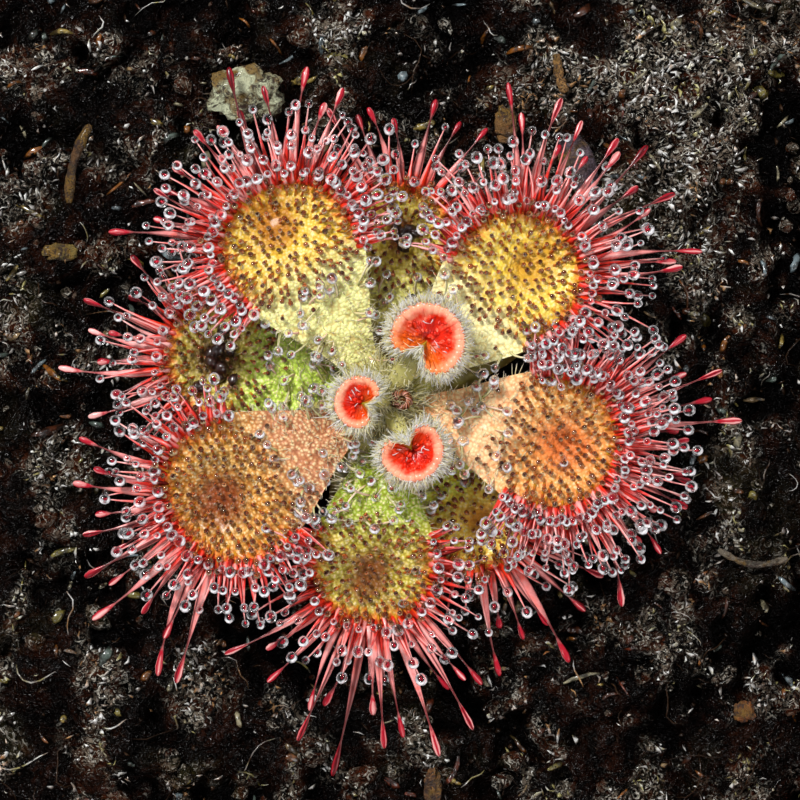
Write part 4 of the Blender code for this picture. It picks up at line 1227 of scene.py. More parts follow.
def glue(name, ring_light_colour, rim_strength, rim_dimmest):
    """Mucilage is nearly all water: clear and mirror-smooth, so only its highlights show, and a ring near the
    rim, where it gathers the light of the room; that ring is painted light, a white skin mixed in over the
    clear. The ring swells to a bright crescent on the side away from the key lamp, to which the drop bends
    its light, and is dimmer towards the lamp, broken every 0.4 mm or so, and faint on the far wall, which
    shows through the drop. It is lit as if it faced up, to the lamps."""
    material, tree = new_material(name)
    facing = add(tree, "LayerWeight", {"Blend": 0.5}).outputs["Facing"]
    surface = add(tree, "NewGeometry")
    outward = surface.outputs["Normal"]
    away = add(tree, "VectorMath", {0: outward, 1: AWAY_FROM_KEY}, operation="DOT_PRODUCT").outputs["Value"]
    swollen = add(tree, "Math", {0: away, 1: 0.20, 2: facing}, operation="MULTIPLY_ADD")
    lit_side = add(tree, "MapRange", {0: away, 1: -0.5, 2: 0.6, 3: 0.24, 4: 1.0})
    lifted = add(tree, "VectorMath", {0: outward, 1: (0.0, 0.0, 1.3)}, operation="ADD").outputs[0]
    lifted = add(tree, "VectorMath", {0: lifted}, operation="NORMALIZE").outputs[0]
    far_wall = surface.outputs["Backfacing"]
    near_wall = add(tree, "MapRange", {0: far_wall, 1: 0.0, 2: 1.0, 3: 1.0, 4: 0.25})
    here = add(tree, "TexCoord").outputs["Object"]
    sides = add(tree, "TexNoise", {"Vector": here, "Scale": 2.4 / mm, "Detail": 1})
    inner = add(
        tree,
        "MapRange",
        {0: swollen.outputs[0], 1: 0.08, 2: 0.25, 3: 0.0, 4: rim_strength},
        interpolation_type="SMOOTHSTEP",
    )
    outer = add(
        tree, "MapRange", {0: facing, 1: 0.66, 2: 0.97, 3: 1.0, 4: 0.3}, interpolation_type="SMOOTHSTEP"
    )
    side = add(tree, "MapRange", {0: sides.outputs["Fac"], 1: 0.38, 2: 0.62, 3: rim_dimmest, 4: 1.0})
    band = add(tree, "Math", {0: inner.outputs[0], 1: outer.outputs[0]}, operation="MULTIPLY")
    ring = add(tree, "Math", {0: band.outputs[0], 1: lit_side.outputs[0]}, operation="MULTIPLY")
    ring = add(tree, "Math", {0: ring.outputs[0], 1: near_wall.outputs[0]}, operation="MULTIPLY")
    # The white ring is painted light.
    painted_ring = add(tree, "Math", {0: ring.outputs[0], 1: side.outputs[0]}, operation="MULTIPLY")
    clear = add(
        tree,
        "BsdfPrincipled",
        {
            "Base Color": (1, 1, 1, 1),
            "Roughness": 0.04,
            "IOR": 1.40,
            "Transmission Weight": 1.0,
            "Specular IOR Level": 1.0,
        },
    )
    bright = add(
        tree,
        "BsdfPrincipled",
        {"Base Color": linear(ring_light_colour), "Roughness": 0.12, "IOR": 1.4, "Normal": lifted},
    )
    drop = add(tree, "MixShader", {"Fac": painted_ring.outputs[0], 1: clear.outputs[0], 2: bright.outputs[0]})
    add(tree, "OutputMaterial", {"Surface": drop.outputs[0]})
    return material


mucilage = glue("mucilage", "#FFFCFF", 1.0, 0.0)
pin_mucilage = glue("thin mucilage", "#FFE0A8", 0.4, 0.1)

for number, (name, leaf) in enumerate(LEAVES.items()):
    rng = np.random.default_rng(100 + number)
    length, width = leaf[1], leaf[2]

    # Pins stand in a skewed grid with some jitter, straight in the dish and leaning out towards the rim. A
    # few stand on the stalk.
    rows, columns = np.meshgrid(np.arange(0, length, PIN_ROW_GAP), np.arange(-9, 10), indexing="ij")
    x = rows + rng.uniform(-0.15, 0.15, rows.shape)
    y = (columns + 0.5 * (np.round(rows / PIN_ROW_GAP) % 2)) * PIN_SPACING
    y = y + rng.uniform(-0.15, 0.15, rows.shape)
    x, y = x.ravel() * mm, y.ravel() * mm
    reach, along, _ = pad_reach(leaf, np.stack([x, y], axis=-1))
    u, v = grid_on_leaf(leaf, x, y)
    kept = (reach < 0.97) & (u < 0.97) & (np.abs(v) < 0.95) & (u > 0.1)
    kept |= (along < -0.3) & (u > 0.38) & (np.abs(v) < 0.9) & (rng.uniform(0, 1, len(x)) < 0.25)
    u, v, reach = u[kept], v[kept], reach[kept].clip(0, 1) * np.clip(1.35 + along[kept], 0.35, 1)
    root = leaf_face(name, u, v)
    from_middle = root[:, :2] - (LEAF_FOOT + WIDEST_AT * (length * mm - LEAF_FOOT), 0)
    outward = unit(from_middle)
    lean = 0.25 + 1.4 * reach**2
    way = unit(np.concatenate([outward * lean[:, None], np.ones((len(root), 1))], axis=1))
    stand = (0.30 + 0.75 * reach**3 + rng.uniform(0, 0.15, len(root))) * mm
    pins = stalk_paths(root - way * 0.1 * mm, way, stand, 0 * stand, rng.normal(0, 0.1, len(root)), 2)
    pins = set_out(name, pins)
    t = np.linspace(0, 1, 2)
    tentacles(name + "_pins", tubes(pins, (0.10 - 0.05 * t) * mm, 4, hint=(0.3, 0.5, 0.8)), pin_tissue,
              "tentacle_red", t[None], rows=False)
    tip, tip_way = pins[:, -1], unit(pins[:, -1] - pins[:, -2])
    head = PIN_HEAD * rng.uniform(0.85, 1.15, len(tip))
    tentacles(name + "_pin_glands", beads(tip, head, tip_way, 6, 4, 1.15), pin_gland_tissue, "tentacle_red",
              rng.uniform(0, 1, len(tip)), rows=False)
    drops = beads(tip + tip_way * 0.03 * mm, head * (1.2 + 0.8 * reach**2), tip_way, 7, 4)
    mesh_piece(name + "_pin_dew", drops, skin(drops), pin_mucilage, "mucilage")

    # Dew tentacles grow in four rows: the inner stands up, the outer lies nearly flat and is longest. Those
    # on the flanks are short.
    dew_density, reach_out = DEW_FRINGES[name]
    dew_count = int(dew_density * width**2)
    spot, outward = rim_of_leaf(name, dew_count, 0.56, rng)
    inset, stalk, rise = np.array(DEW_ROWS)[np.array(ROW_ORDER)[np.arange(dew_count) % len(ROW_ORDER)]].T
    rise = np.radians(rise + rng.normal(0, 6, dew_count))
    past_middle = spot[:, 0] / mm / length - 0.72
    stalk = stalk * np.interp(past_middle, (-0.25, -0.05, 0.12), (0.5, 0.72, 1.0))
    stalk = stalk * rng.uniform(0.84, 1.16, dew_count) * reach_out * mm
    way = turned_by(outward, rng.normal(0, 0.10, dew_count), rise)
    root = spot - np.concatenate([outward * inset[:, None] * mm, np.full((dew_count, 1), 0.12 * mm)], axis=1)
    sag, sway = rng.uniform(0.0, 0.22, dew_count), rng.normal(0, 0.08, dew_count)
    stalks = over_peat(set_out(name, stalk_paths(root, way, stalk, sag, sway, 5)), 0.45 * mm)
    t = np.linspace(0, 1, 5)
    taper = np.interp(t, (0, 0.3, 0.6, 1), (0.22, 0.13, 0.065, 0.035))
    tentacles(name + "_dew_stalks", tubes(stalks, taper * mm, 6, hint=(0.2, 0.3, 0.9)), dew_tissue,
              "tentacle_red", t[None])
    tip, tip_way = stalks[:, -1], unit(stalks[:, -1] - stalks[:, -2])
    size = rng.uniform(0.62, 1.12, dew_count)
    tentacles(name + "_dew_glands", beads(tip, DEW_GLAND * size, tip_way, 6, 4, 1.5), gland_tissue,
              "tentacle_red", rng.uniform(0, 1, dew_count), rows=False)
    drops = beads(tip + tip_way * DROP_OUT, DEW_DROP * size, tip_way, 10, 6, 1.06)
    mesh_piece(name + "_dew", drops, skin(drops), mucilage, "mucilage")

    # Pale tentacles straggle up and sideways from the leaf's stalk and carry clear drops. Their way to either
    # side follows the side of the stalk that they stand on.
    u, v = rng.uniform(0.08, 0.52, PALE_PER_LEAF), rng.uniform(-1, 1, PALE_PER_LEAF)
    root = leaf_face(name, u, v) - (0, 0, 0.1 * mm)
    aside = np.stack([rng.normal(0, 0.5, PALE_PER_LEAF), v + rng.normal(0, 0.4, PALE_PER_LEAF)], axis=-1)
    way = turned_by(unit(aside), 0, np.radians(rng.uniform(10, 70, PALE_PER_LEAF)))
    stalk = rng.uniform(0.6, 1.7, PALE_PER_LEAF) * mm
    sag, sway = rng.uniform(0.0, 0.2, PALE_PER_LEAF), rng.normal(0, 0.25, PALE_PER_LEAF)
    stalks = over_peat(set_out(name, stalk_paths(root, way, stalk, sag, sway, 5)), 0.4 * mm)
    t = np.linspace(0, 1, 5)
    tentacles(name + "_pale_stalks", tubes(stalks, (0.09 - 0.04 * t) * mm, 5, hint=(0.2, 0.3, 0.9)),
              pale_tissue, "tentacle_red", t[None])
    tip, tip_way = stalks[:, -1], unit(stalks[:, -1] - stalks[:, -2])
    size = rng.uniform(0.8, 1.1, PALE_PER_LEAF)
    tentacles(name + "_pale_glands", beads(tip, PALE_GLAND * size, tip_way, 6, 4, 1.4), pale_gland_tissue,
              "tentacle_red", rng.uniform(0, 1, PALE_PER_LEAF), rows=False)
    drops = beads(tip + tip_way * DROP_OUT, PALE_DROP * size, tip_way, 10, 6, 1.06)
    mesh_piece(name + "_pale_dew", drops, skin(drops), mucilage, "mucilage")

    # A down of short pale hairs covers the stalk and thins out over the pad's foot.
    u = rng.beta(1.3, 2.2, FUZZ_PER_LEAF) * 0.7 + 0.03
    v = np.sin(np.pi * rng.uniform(-0.5, 0.5, FUZZ_PER_LEAF))
    root = leaf_face(name, u, v) - (0, 0, 0.02 * mm)
    way = unit(rng.normal(0, 0.6, (FUZZ_PER_LEAF, 3)) + (0, 0, 1) + v[:, None] * (0, 1.2, 0))
    none = np.zeros(FUZZ_PER_LEAF)
    hairs = stalk_paths(root, way, rng.uniform(0.25, 0.75, FUZZ_PER_LEAF) * mm, none, none, 3)
    tentacles(name + "_down", tubes(set_out(name, hairs), np.array([0.034, 0.024, 0.006]) * mm, 3,
                                    hint=(0.05, 0.02, 1.0), flat=0.6),
              pale_tissue, "leaf_blade", np.array([[0.6, 0.8, 1.0]]), rows=False)

    # Snap tentacles: the CAD's, and a shorter one between each two. A flat tapering stalk ends in a paddle.
    own = np.array(leaf[7], dtype=float)
    shorter = rng.uniform(0.6, 0.9, len(own) - 1)
    between = (own[1:] + own[:-1]) / 2 * np.stack([np.ones_like(shorter), shorter], axis=-1)
    arms = np.concatenate([own, between])
    angle = np.radians(arms[:, 0] + rng.normal(0, 1.5, len(arms)))
    middle = LEAF_FOOT + WIDEST_AT * (length * mm - LEAF_FOOT)
    rim, _ = rim_of_leaf(name, 400, 0.4, np.random.default_rng(0))
    bearing = np.arctan2(rim[:, 1], rim[:, 0] - middle)
    root = rim[np.argmin(np.abs(bearing[None] - angle[:, None]), axis=1)] - (0, 0, 0.22 * mm)
    way = np.stack([np.cos(angle), np.sin(angle), np.full(len(arms), 0.10)], axis=-1)
    s = np.array(SNAP_STATIONS)[:, None]
    aside = unit(np.cross(way, (0, 0, 1.0)))[:, None] * rng.normal(0, 0.11, len(arms))[:, None, None]
    path = root[:, None] + arms[:, 1, None, None] * mm * (s * way[:, None] + s**2 * (aside - (0, 0, 0.12)))
    path = over_peat(set_out(name, path), 0.35 * mm)
    breadth = np.interp(s[:, 0], SNAP_WIDTH_AT, SNAP_WIDTHS)
    snap_rings = tubes(path, breadth * mm * rng.uniform(0.85, 1.15, len(arms))[:, None], 8, flat=0.45)
    redness = (0.0, 0.2, 0.48, 0.5, 0.66, 0.7, 1.1, 1.3)
    reddening = np.interp(s[:, 0], (0, 0.12, 0.30, 0.48, 0.64, 0.78, 0.84, 1), redness)
    tentacles(name + "_snap_tentacles", snap_rings, snap_tissue, "tentacle_red", reddening[None],
              dim=np.interp(s[:, 0], (0, 0.4, 0.6, 0.78, 0.84, 1), (1, 1, 0.3, 0.2, 0.9, 1)))


# ---------------------------------------------------------------- prey remains

# Two of the older leaves still hold what is left of small flies: black shells sucked dry, wet with glue.
# name: how far along the leaf they lie, as a share of its length, and how widely
PREY = {"leaf_north": (0.72, 0.9), "leaf_west": (0.72, 1.2)}
SHELL_PIECES = 9

# Chitin is horn-like: smooth, glossy and nearly black, with brown dust in specks of 0.4 mm.
shell, tree = new_material("insect shell")
here = add(tree, "TexCoord").outputs["Object"]
dust = add(tree, "TexNoise", {"Vector": here, "Scale": 2.5 / mm, "Detail": 4})
horn = add(
    tree, "MixRGB", {"Fac": dust.outputs["Fac"], "Color1": linear("#0E0807"), "Color2": linear("#3A1A12")}
)
chitin = add(
    tree, "BsdfPrincipled", {"Base Color": horn.outputs[0], "Roughness": 0.3, "IOR": 1.56, "Coat Weight": 0.6}
)
add(tree, "OutputMaterial", {"Surface": chitin.outputs[0]})
for name, (share, spread) in PREY.items():
    rng = np.random.default_rng(len(name))
    u = rng.normal(share, 0.05 * spread, SHELL_PIECES)
    v = rng.normal(0, 0.17 * spread, SHELL_PIECES)
    spot = set_out(name, leaf_face(name, u, v) + (0, 0, 0.25 * mm))
    size = rng.uniform(0.2, 0.45, SHELL_PIECES) * mm
    lumps = beads(spot, size, unit(rng.normal(0, 1, (SHELL_PIECES, 3))), 9, 8, 1.4)
    lumps = lumps + rng.normal(0, 0.035, lumps.shape) * mm
    mesh_piece(name + "_prey_remains", lumps, skin(lumps), shell, "dead_leaf")


# ---------------------------------------------------------------- young leaves

# The three leaves that are still unrolling: kidney-shaped cups, woolly outside, whose red tentacles lie
# folded in over the rim. The bud between them is a knot of tentacles that haven't reddened yet.
WOOL_PER_CUP = 380  # for each square millimetre of the cup's radius squared
STALK_HAIRS, INNER_HAIRS = 150, 7
CUP_ROWS, CUP_COLUMNS = 40, 96
AMBER_SPREAD = 0.75  # radians on either side of the notch's lobes
RIBS_PER_MM = 15  # for each millimetre of the cup's radius
HEADS_PER_CUP = 17  # for each square millimetre of the cup's radius squared


def cup_side(theta, s, radius, gap):
    """A cup's section: s runs from its stalk up the outer wall, over the rim at 0.56, down inside and to the
    middle of its floor. The plan is a circle pressed in towards the stem by a bell curve `gap` wide, at
    theta 0."""
    s_at = (0, 0.12, 0.28, 0.42, 0.50, 0.56, 0.62, 0.70, 0.85, 1.0)
    across = np.interp(s, s_at, (0.10, 0.60, 0.95, 1.03, 1.00, 0.91, 0.81, 0.67, 0.34, 0.0))
    tall = np.interp(s, s_at, (-0.98, -0.72, -0.15, 0.18, 0.32, 0.38, 0.32, 0.16, 0.00, -0.06))
    notch = 1 - 0.82 * np.exp(-((theta / gap) ** 2)) * np.clip((s - 0.05) / 0.3, 0, 1)
    return radius * across * notch, radius * tall


# Young skin is thin and moist. The point colour's red, green, blue and alpha say how far inside, how near the
# rim, how amber and how deep in the notch a point is: it is pale outside, mottled every 0.9 mm, pink under
# the rim, red or amber inside and olive in the notch.
woolly, tree = new_material("young leaf skin")
here = add(tree, "TexCoord").outputs["Object"]
zone = add(tree, "SeparateColor", {0: add(tree, "Attribute", attribute_name="zones").outputs["Color"]})
mottle = add(tree, "TexNoise", {"Vector": here, "Scale": 1.1 / mm, "Detail": 4})
shell_tone = add(
    tree, "MixRGB", {"Fac": mottle.outputs["Fac"], "Color1": linear("#C2C480"), "Color2": linear("#F4F0DA")}
)
inside = add(
    tree, "MixRGB", {"Fac": zone.outputs[2], "Color1": linear("#B40A02"), "Color2": linear("#DC5210")}
)
pinked = add(
    tree,
    "MixRGB",
    {"Fac": zone.outputs[1], "Color1": shell_tone.outputs[0], "Color2": linear("#F2A898")},
)
filled = add(
    tree, "MixRGB", {"Fac": zone.outputs[0], "Color1": pinked.outputs[0], "Color2": inside.outputs[0]}
)
crease = add(tree, "Attribute", attribute_name="zones").outputs["Alpha"]
filled = add(tree, "MixRGB", {"Fac": crease, "Color1": filled.outputs[0], "Color2": linear("#A89C2C")})
soft = add(tree, "Bump", {"Height": mottle.outputs["Fac"], "Strength": 0.4, "Distance": 0.12 * mm})
skin_shader = add(
    tree,
    "BsdfPrincipled",
    {
        "Base Color": filled.outputs[0],
        "Roughness": 0.34,
        "Normal": soft.outputs[0],
        "Specular IOR Level": 0.3,
    },
)
add(tree, "OutputMaterial", {"Surface": skin_shader.outputs[0]})

# The wool is clear cell walls full of air: white to cream, thin enough for light to come through.
wool, tree = new_material("plant wool")
tone = add(tree, "Attribute", attribute_name="tone").outputs["Fac"]
fleece = add(tree, "MixRGB", {"Fac": tone, "Color1": linear("#FFFFFF"), "Color2": linear("#F8F0B4")})
strand = add(tree, "BsdfPrincipled", {"Base Color": fleece.outputs[0], "Roughness": 0.35})
through = add(tree, "BsdfTranslucent", {"Color": fleece.outputs[0]})
walls = add(tree, "MixShader", {"Fac": 0.5, 1: strand.outputs[0], 2: through.outputs[0]})
hollow = add(tree, "BsdfTransparent", {"Color": (1, 1, 1, 1)})
hair_shader = add(tree, "MixShader", {"Fac": 0.08, 1: walls.outputs[0], 2: hollow.outputs[0]})
add(tree, "OutputMaterial", {"Surface": hair_shader.outputs[0]})
# The folded tentacles run from pale pink over the rim to deep red on the cup's floor. That deepest red is
# partly their own and partly painted shade in the cup's depth.
fold_tissue = sap_tissue("folded tentacle tissue", "#FBAA88", "#E22404", "#9A0800", 0.22, "#E6761A")


def hairs_from(name, root, way, length, tone_value, rng):
    """Fine flat hairs that leave their roots along `way` and curl by chance, by the square of the distance
    along them."""
    t = np.linspace(0, 1, 3)[None, :, None]
    curl = rng.normal(0, 0.28, (len(root), 1, 3))
    path = root[:, None] + length[:, None, None] * (t * way[:, None] + t**2 * curl)
    hair_rings = tubes(path, np.array([0.052, 0.038, 0.010]) * mm, 3, hint=(0.05, 0.02, 1.0), flat=0.5)
    mesh_piece(name, hair_rings, skin(hair_rings), wool, "young_leaf", tone=per_point(tone_value, hair_rings))


def round_cup(middle, turn, across, tall):
    """Points round the upright axis of a cup or the bud, by their bearing, their distance from it and their
    height over its middle."""
    return middle + np.stack([across * np.cos(turn), across * np.sin(turn), tall], axis=-1)


# name: how far out, azimuth, radius and middle's height above the peat, in millimetres and degrees, all as in
# CAD, then how amber it is, and how wide its notch is and how far turned from the stem, both in radians
CUPS = {
    "young_leaf_large": (4.1, 54, 2.1, 5.9, 0.75, 0.56, 0.0),
    "young_leaf_middling": (3.2, 299, 1.75, 5.7, 0.15, 0.66, 0.0),
    "young_leaf_small": (1.3, 187, 1.45, 6.0, 0.30, 0.76, -0.45),
}
for number, (name, (out, azimuth, radius, middle_height, amber, gap, turn)) in enumerate(CUPS.items()):
    rng = np.random.default_rng(300 + number)
    radius = radius * mm
    angle = math.radians(azimuth)
    outward = np.array([math.cos(angle), math.sin(angle), 0])
    centre_point = out * mm * outward + (0, 0, PEAT_TOP + middle_height * mm)
    theta = np.linspace(-np.pi, np.pi, CUP_COLUMNS + 1)[:-1]
    s = np.linspace(0, 0.985, CUP_ROWS)
    across, tall = cup_side(theta[None, :], s[:, None], radius, gap)
    faced = angle + np.pi + turn
    cup_points = round_cup(centre_point, theta + faced, across, np.broadcast_to(tall, across.shape))
    lobe = 1.15 * gap
    by_notch = np.exp(-(((np.abs(theta) - lobe) / AMBER_SPREAD) ** 2))[None] * np.ones_like(across)
    inner = np.clip((s - 0.60) / 0.08, 0, 1)[:, None] * np.ones_like(across)
    rim_zone = np.exp(-(((s - 0.54) / 0.08) ** 2))[:, None] * (1 - 0.5 * by_notch)
    fold = np.exp(-((theta / (0.75 * gap)) ** 4))[None] * np.ones_like(across)
    zones = np.stack([inner, rim_zone, by_notch * amber, fold], axis=-1)
    cup_faces = lattice(len(s), len(theta), joined=True)
    cup_faces += [list(range(len(theta)))[::-1], list(range((len(s) - 1) * len(theta), len(s) * len(theta)))]
    cup = mesh_piece(name + "_cup", cup_points, cup_faces, woolly, "young_leaf", zones=zones)
    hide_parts(name)

    # The stalk leaves the stem and swells into the cup's crease: a quadratic curve drawn by three points.
    t = np.linspace(0, 1, 11)[:, None]
    foot_point = 0.6 * mm * outward + (0, 0, PEAT_TOP + 3.0 * mm)
    inward = -radius * outward
    knee = centre_point + 1.25 * inward - (0, 0, 0.9 * radius)
    head_point = centre_point + 0.30 * inward - (0, 0, 0.02 * radius)
    bowed = (1 - t) ** 2 * foot_point + 2 * t * (1 - t) * knee + t**2 * head_point
    girth = radius * np.interp(t[:, 0], (0, 0.5, 0.8, 1), (0.20, 0.32, 0.26, 0.10))
    stalk_rings = tubes(bowed[None], girth[None], 16, hint=(0.3, 0.8, 0.1))
    stalk_zone = np.tile((0.0, 0.0, 0.0, 0.7), (stalk_rings[..., 0].size, 1))
    mesh_piece(name + "_stalk", stalk_rings, skin(stalk_rings), woolly, "young_leaf", zones=stalk_zone)

    # Folded tentacles arch from the rim's outside over it and down into the cup, side by side along its
    # section.
    count = int(RIBS_PER_MM * radius / mm)
    rib = np.linspace(lobe, 2 * np.pi - lobe, count) + rng.normal(0, 0.012, count)
    rib = np.where(rib > np.pi, rib - 2 * np.pi, rib)
    climb = np.linspace(0.48, 0.98, 10)
    rib_across, rib_tall = cup_side(rib[:, None], climb[None, :], radius, gap)
    lift = 0.05 * mm * np.sin(np.pi * np.linspace(0.1, 1, 10)) + 0.02 * mm
    flat_turn = rib[:, None] + faced + 0.02 * np.sin(np.linspace(0, 3, 10)) * rng.normal(0, 1, (count, 1))
    rib_tall = np.broadcast_to(rib_tall, rib_across.shape) + lift + rng.uniform(0, 0.02, (count, 1)) * mm
    rib_path = round_cup(centre_point, flat_turn, rib_across, rib_tall)
    tangent = np.stack([-np.sin(flat_turn), np.cos(flat_turn), 0 * flat_turn], axis=-1)
    rib_width = 1.7 * rib_across * (np.pi - lobe) / count
    off_wall = np.cross(tangent, np.gradient(rib_path, axis=1))
    rib_rings = tubes(rib_path, rib_width, 6, hint=off_wall, flat=0.35)
    redness = np.interp(climb, (0.48, 0.61, 0.69, 0.80, 0.98), (0.0, 0.06, 0.48, 0.70, 1.0))
    mesh_piece(
        name + "_folded_tentacles", rib_rings, skin(rib_rings), fold_tissue, "young_leaf",
        row=np.full(rib_rings[..., 0].size, 0.5),
        along=per_point(redness[None], rib_rings),
        amber=per_point(amber * np.exp(-(((np.abs(rib) - lobe) / AMBER_SPREAD) ** 2)), rib_rings),
    )

    # Their round heads lie close together on the cup's floor.
    heads = int(HEADS_PER_CUP * (radius / mm) ** 2)
    at = rng.uniform(lobe + 0.1, 2 * np.pi - lobe - 0.1, heads)
    depth = 0.98 - 0.30 * np.sqrt(rng.uniform(0, 1, heads))
    at = np.where(at > np.pi, at - 2 * np.pi, at)
    head_across, head_tall = cup_side(at, depth, radius, gap)
    turned = at + faced
    spot = round_cup(centre_point, turned, head_across, head_tall)
    inward = np.stack([-np.cos(turned), -np.sin(turned), np.zeros(heads)], axis=-1)
    lying = unit(inward + rng.normal(0, 0.4, (heads, 3)))
    head_beads = beads(spot + (0, 0, 0.09 * mm), rng.uniform(0.08, 0.13, heads) * mm, lying, 7, 5, 1.6)
    mesh_piece(
        name + "_tentacle_heads", head_beads, skin(head_beads), fold_tissue, "young_leaf",
        row=np.full(head_beads[..., 0].size, 0.5),
        along=per_point(rng.uniform(0.42, 0.72, heads), head_beads),
        amber=per_point(amber * np.exp(-(((np.abs(at) - lobe) / AMBER_SPREAD) ** 2)), head_beads),
    )

    # Wool stands out all over the cup's outer wall, thickest under the rim.
    count = int(WOOL_PER_CUP * (radius / mm) ** 2)
    at = rng.uniform(-np.pi, np.pi, count)
    up_wall = 0.14 + 0.42 * np.sqrt(rng.uniform(0, 1, count))
    wall_across, wall_tall = cup_side(at, up_wall, radius, gap)
    turned = at + faced
    root = round_cup(centre_point, turned, wall_across, wall_tall)
    off_wall = np.stack([np.cos(turned), np.sin(turned), (up_wall - 0.34) * 2.5], axis=-1)
    way = unit(off_wall + rng.normal(0, 0.30, (count, 3)))
    hairs_from(name + "_wool", root, way, rng.uniform(0.30, 0.68, count) * mm, rng.beta(0.6, 1.2, count), rng)

    # The stalk is woolly too.
    ring, place = rng.integers(1, 10, STALK_HAIRS), rng.integers(0, 16, STALK_HAIRS)
    root = stalk_rings[0, ring, place]
    way = unit(unit(root - bowed[ring]) + rng.normal(0, 0.4, (STALK_HAIRS, 3)))
    hairs_from(name + "_stalk_wool", root, way, rng.uniform(0.25, 0.55, STALK_HAIRS) * mm, 0.6, rng)

    # A few clear hairs lie inside, over the red.
    at, depth = rng.uniform(0.9, 2 * np.pi - 0.9, INNER_HAIRS), rng.uniform(0.70, 0.84, INNER_HAIRS)
    floor_across, floor_tall = cup_side(np.where(at > np.pi, at - 2 * np.pi, at), depth, radius, gap)
    turned = at + faced
    root = round_cup(centre_point, turned, floor_across, floor_tall + 0.12 * mm)
    inward = np.stack([-np.cos(turned), -np.sin(turned), np.full(INNER_HAIRS, 0.35)], axis=-1)
    way = unit(inward + rng.normal(0, 0.2, (INNER_HAIRS, 3)))
    hairs_from(name + "_inner_hairs", root, way, rng.uniform(0.25, 0.45, INNER_HAIRS) * mm, 0.0, rng)

# The bud: a small core, and pale tentacles that climb it by a sine while they wind round it and draw in.
bud_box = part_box("leaf_bud")
bud_middle = (np.array(bud_box[0]) + np.array(bud_box[1])) / 2
rng = np.random.default_rng(350)
bud_ball = beads(bud_middle[None], np.array([0.36 * mm]), np.array([[0, 0, 1.0]]), 20, 14, 1.2)
bud_tissue = sap_tissue("bud tissue", "#3C3612", "#A0562A", "#F4C0A2", 0.4)
bud = mesh_piece(
    "leaf_bud_core", bud_ball, skin(bud_ball), bud_tissue, "young_leaf",
    along=per_point(np.linspace(0, 0.15, 14)[None], bud_ball), row=np.full(bud_ball[..., 0].size, 0.5),
)
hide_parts("leaf_bud")
bud_turn = np.linspace(0, 2 * np.pi, 17)[:-1, None]
t = np.linspace(0, 1, 9)
fold = np.stack([0.66 - 0.36 * t**2, -0.2 + 0.95 * np.sin(2.2 * t)], axis=-1) * 0.9 * mm
fold = np.broadcast_to(fold, (len(bud_turn), *fold.shape))
bud_paths = round_cup(bud_middle, bud_turn + 0.9 * t, fold[..., 0], fold[..., 1])
bud_rings = tubes(bud_paths, (0.075 - 0.02 * t) * mm, 6, hint=(0.5, 0.2, 0.8))
paleness = np.interp(t, (0, 0.6, 0.85, 1), (0, 0.42, 0.62, 1))
mesh_piece(
    "leaf_bud_tentacles", bud_rings, skin(bud_rings), bud_tissue, "young_leaf",
    along=per_point(paleness[None], bud_rings), row=cell_rows(bud_rings),
)

# Round the bud, papery scales split into pale hairs that hide the stem. They stand on a mound that falls away
# by the square of the distance from its axis.
CROWN_HAIRS = 1300
rng = np.random.default_rng(360)
ring, turn_at = rng.uniform(0.3, 2.4, CROWN_HAIRS), rng.uniform(0, 2 * np.pi, CROWN_HAIRS)
root_height = 3.3 - 0.22 * ring**2 + rng.uniform(0, 0.9, CROWN_HAIRS)
root = np.stack([ring * np.cos(turn_at), ring * np.sin(turn_at), root_height], axis=-1) * mm
root = root + (0, 0, PEAT_TOP)
way = unit(np.stack([np.cos(turn_at), np.sin(turn_at), rng.uniform(0.2, 2.2, CROWN_HAIRS)], axis=-1))
hairs_from(
    "crown_hairs", root, way, rng.uniform(0.4, 1.2, CROWN_HAIRS) * mm, rng.uniform(0.3, 1.0, CROWN_HAIRS), rng
)


# ---------------------------------------------------------------- litter

# What has fallen on the peat or come with it: chips of pine bark, worn round and soaked, a shred of dead
# leaf, a twig, a bit of straw and a dead root. They lie loose, each where its CAD solid lies.
CHIP_ROWS, CHIP_COLUMNS = 24, 36
CHIP_ROUNDNESS = 0.8  # the power that squares a ball off where it is under 1
BARK_STREAKS, LEAF_STREAKS, TWIG_STREAKS = 1.1 / mm, 1.3 / mm, 1.6 / mm
DEAD_LEAF_THICKNESS = 0.12 * mm
# name: its dark tone and its pale one
CHIP_COLOURS = {
    "bark_chunk": ("#4E3C14", "#DCE2BC"),
    "bark_flake_olive": ("#241C0A", "#7A682C"),
    "bark_flake_amber": ("#20140A", "#7C5628"),
    "bark_flake_brown": ("#20140A", "#84562A"),
    "bark_flake_tan": ("#241408", "#96561A"),
}


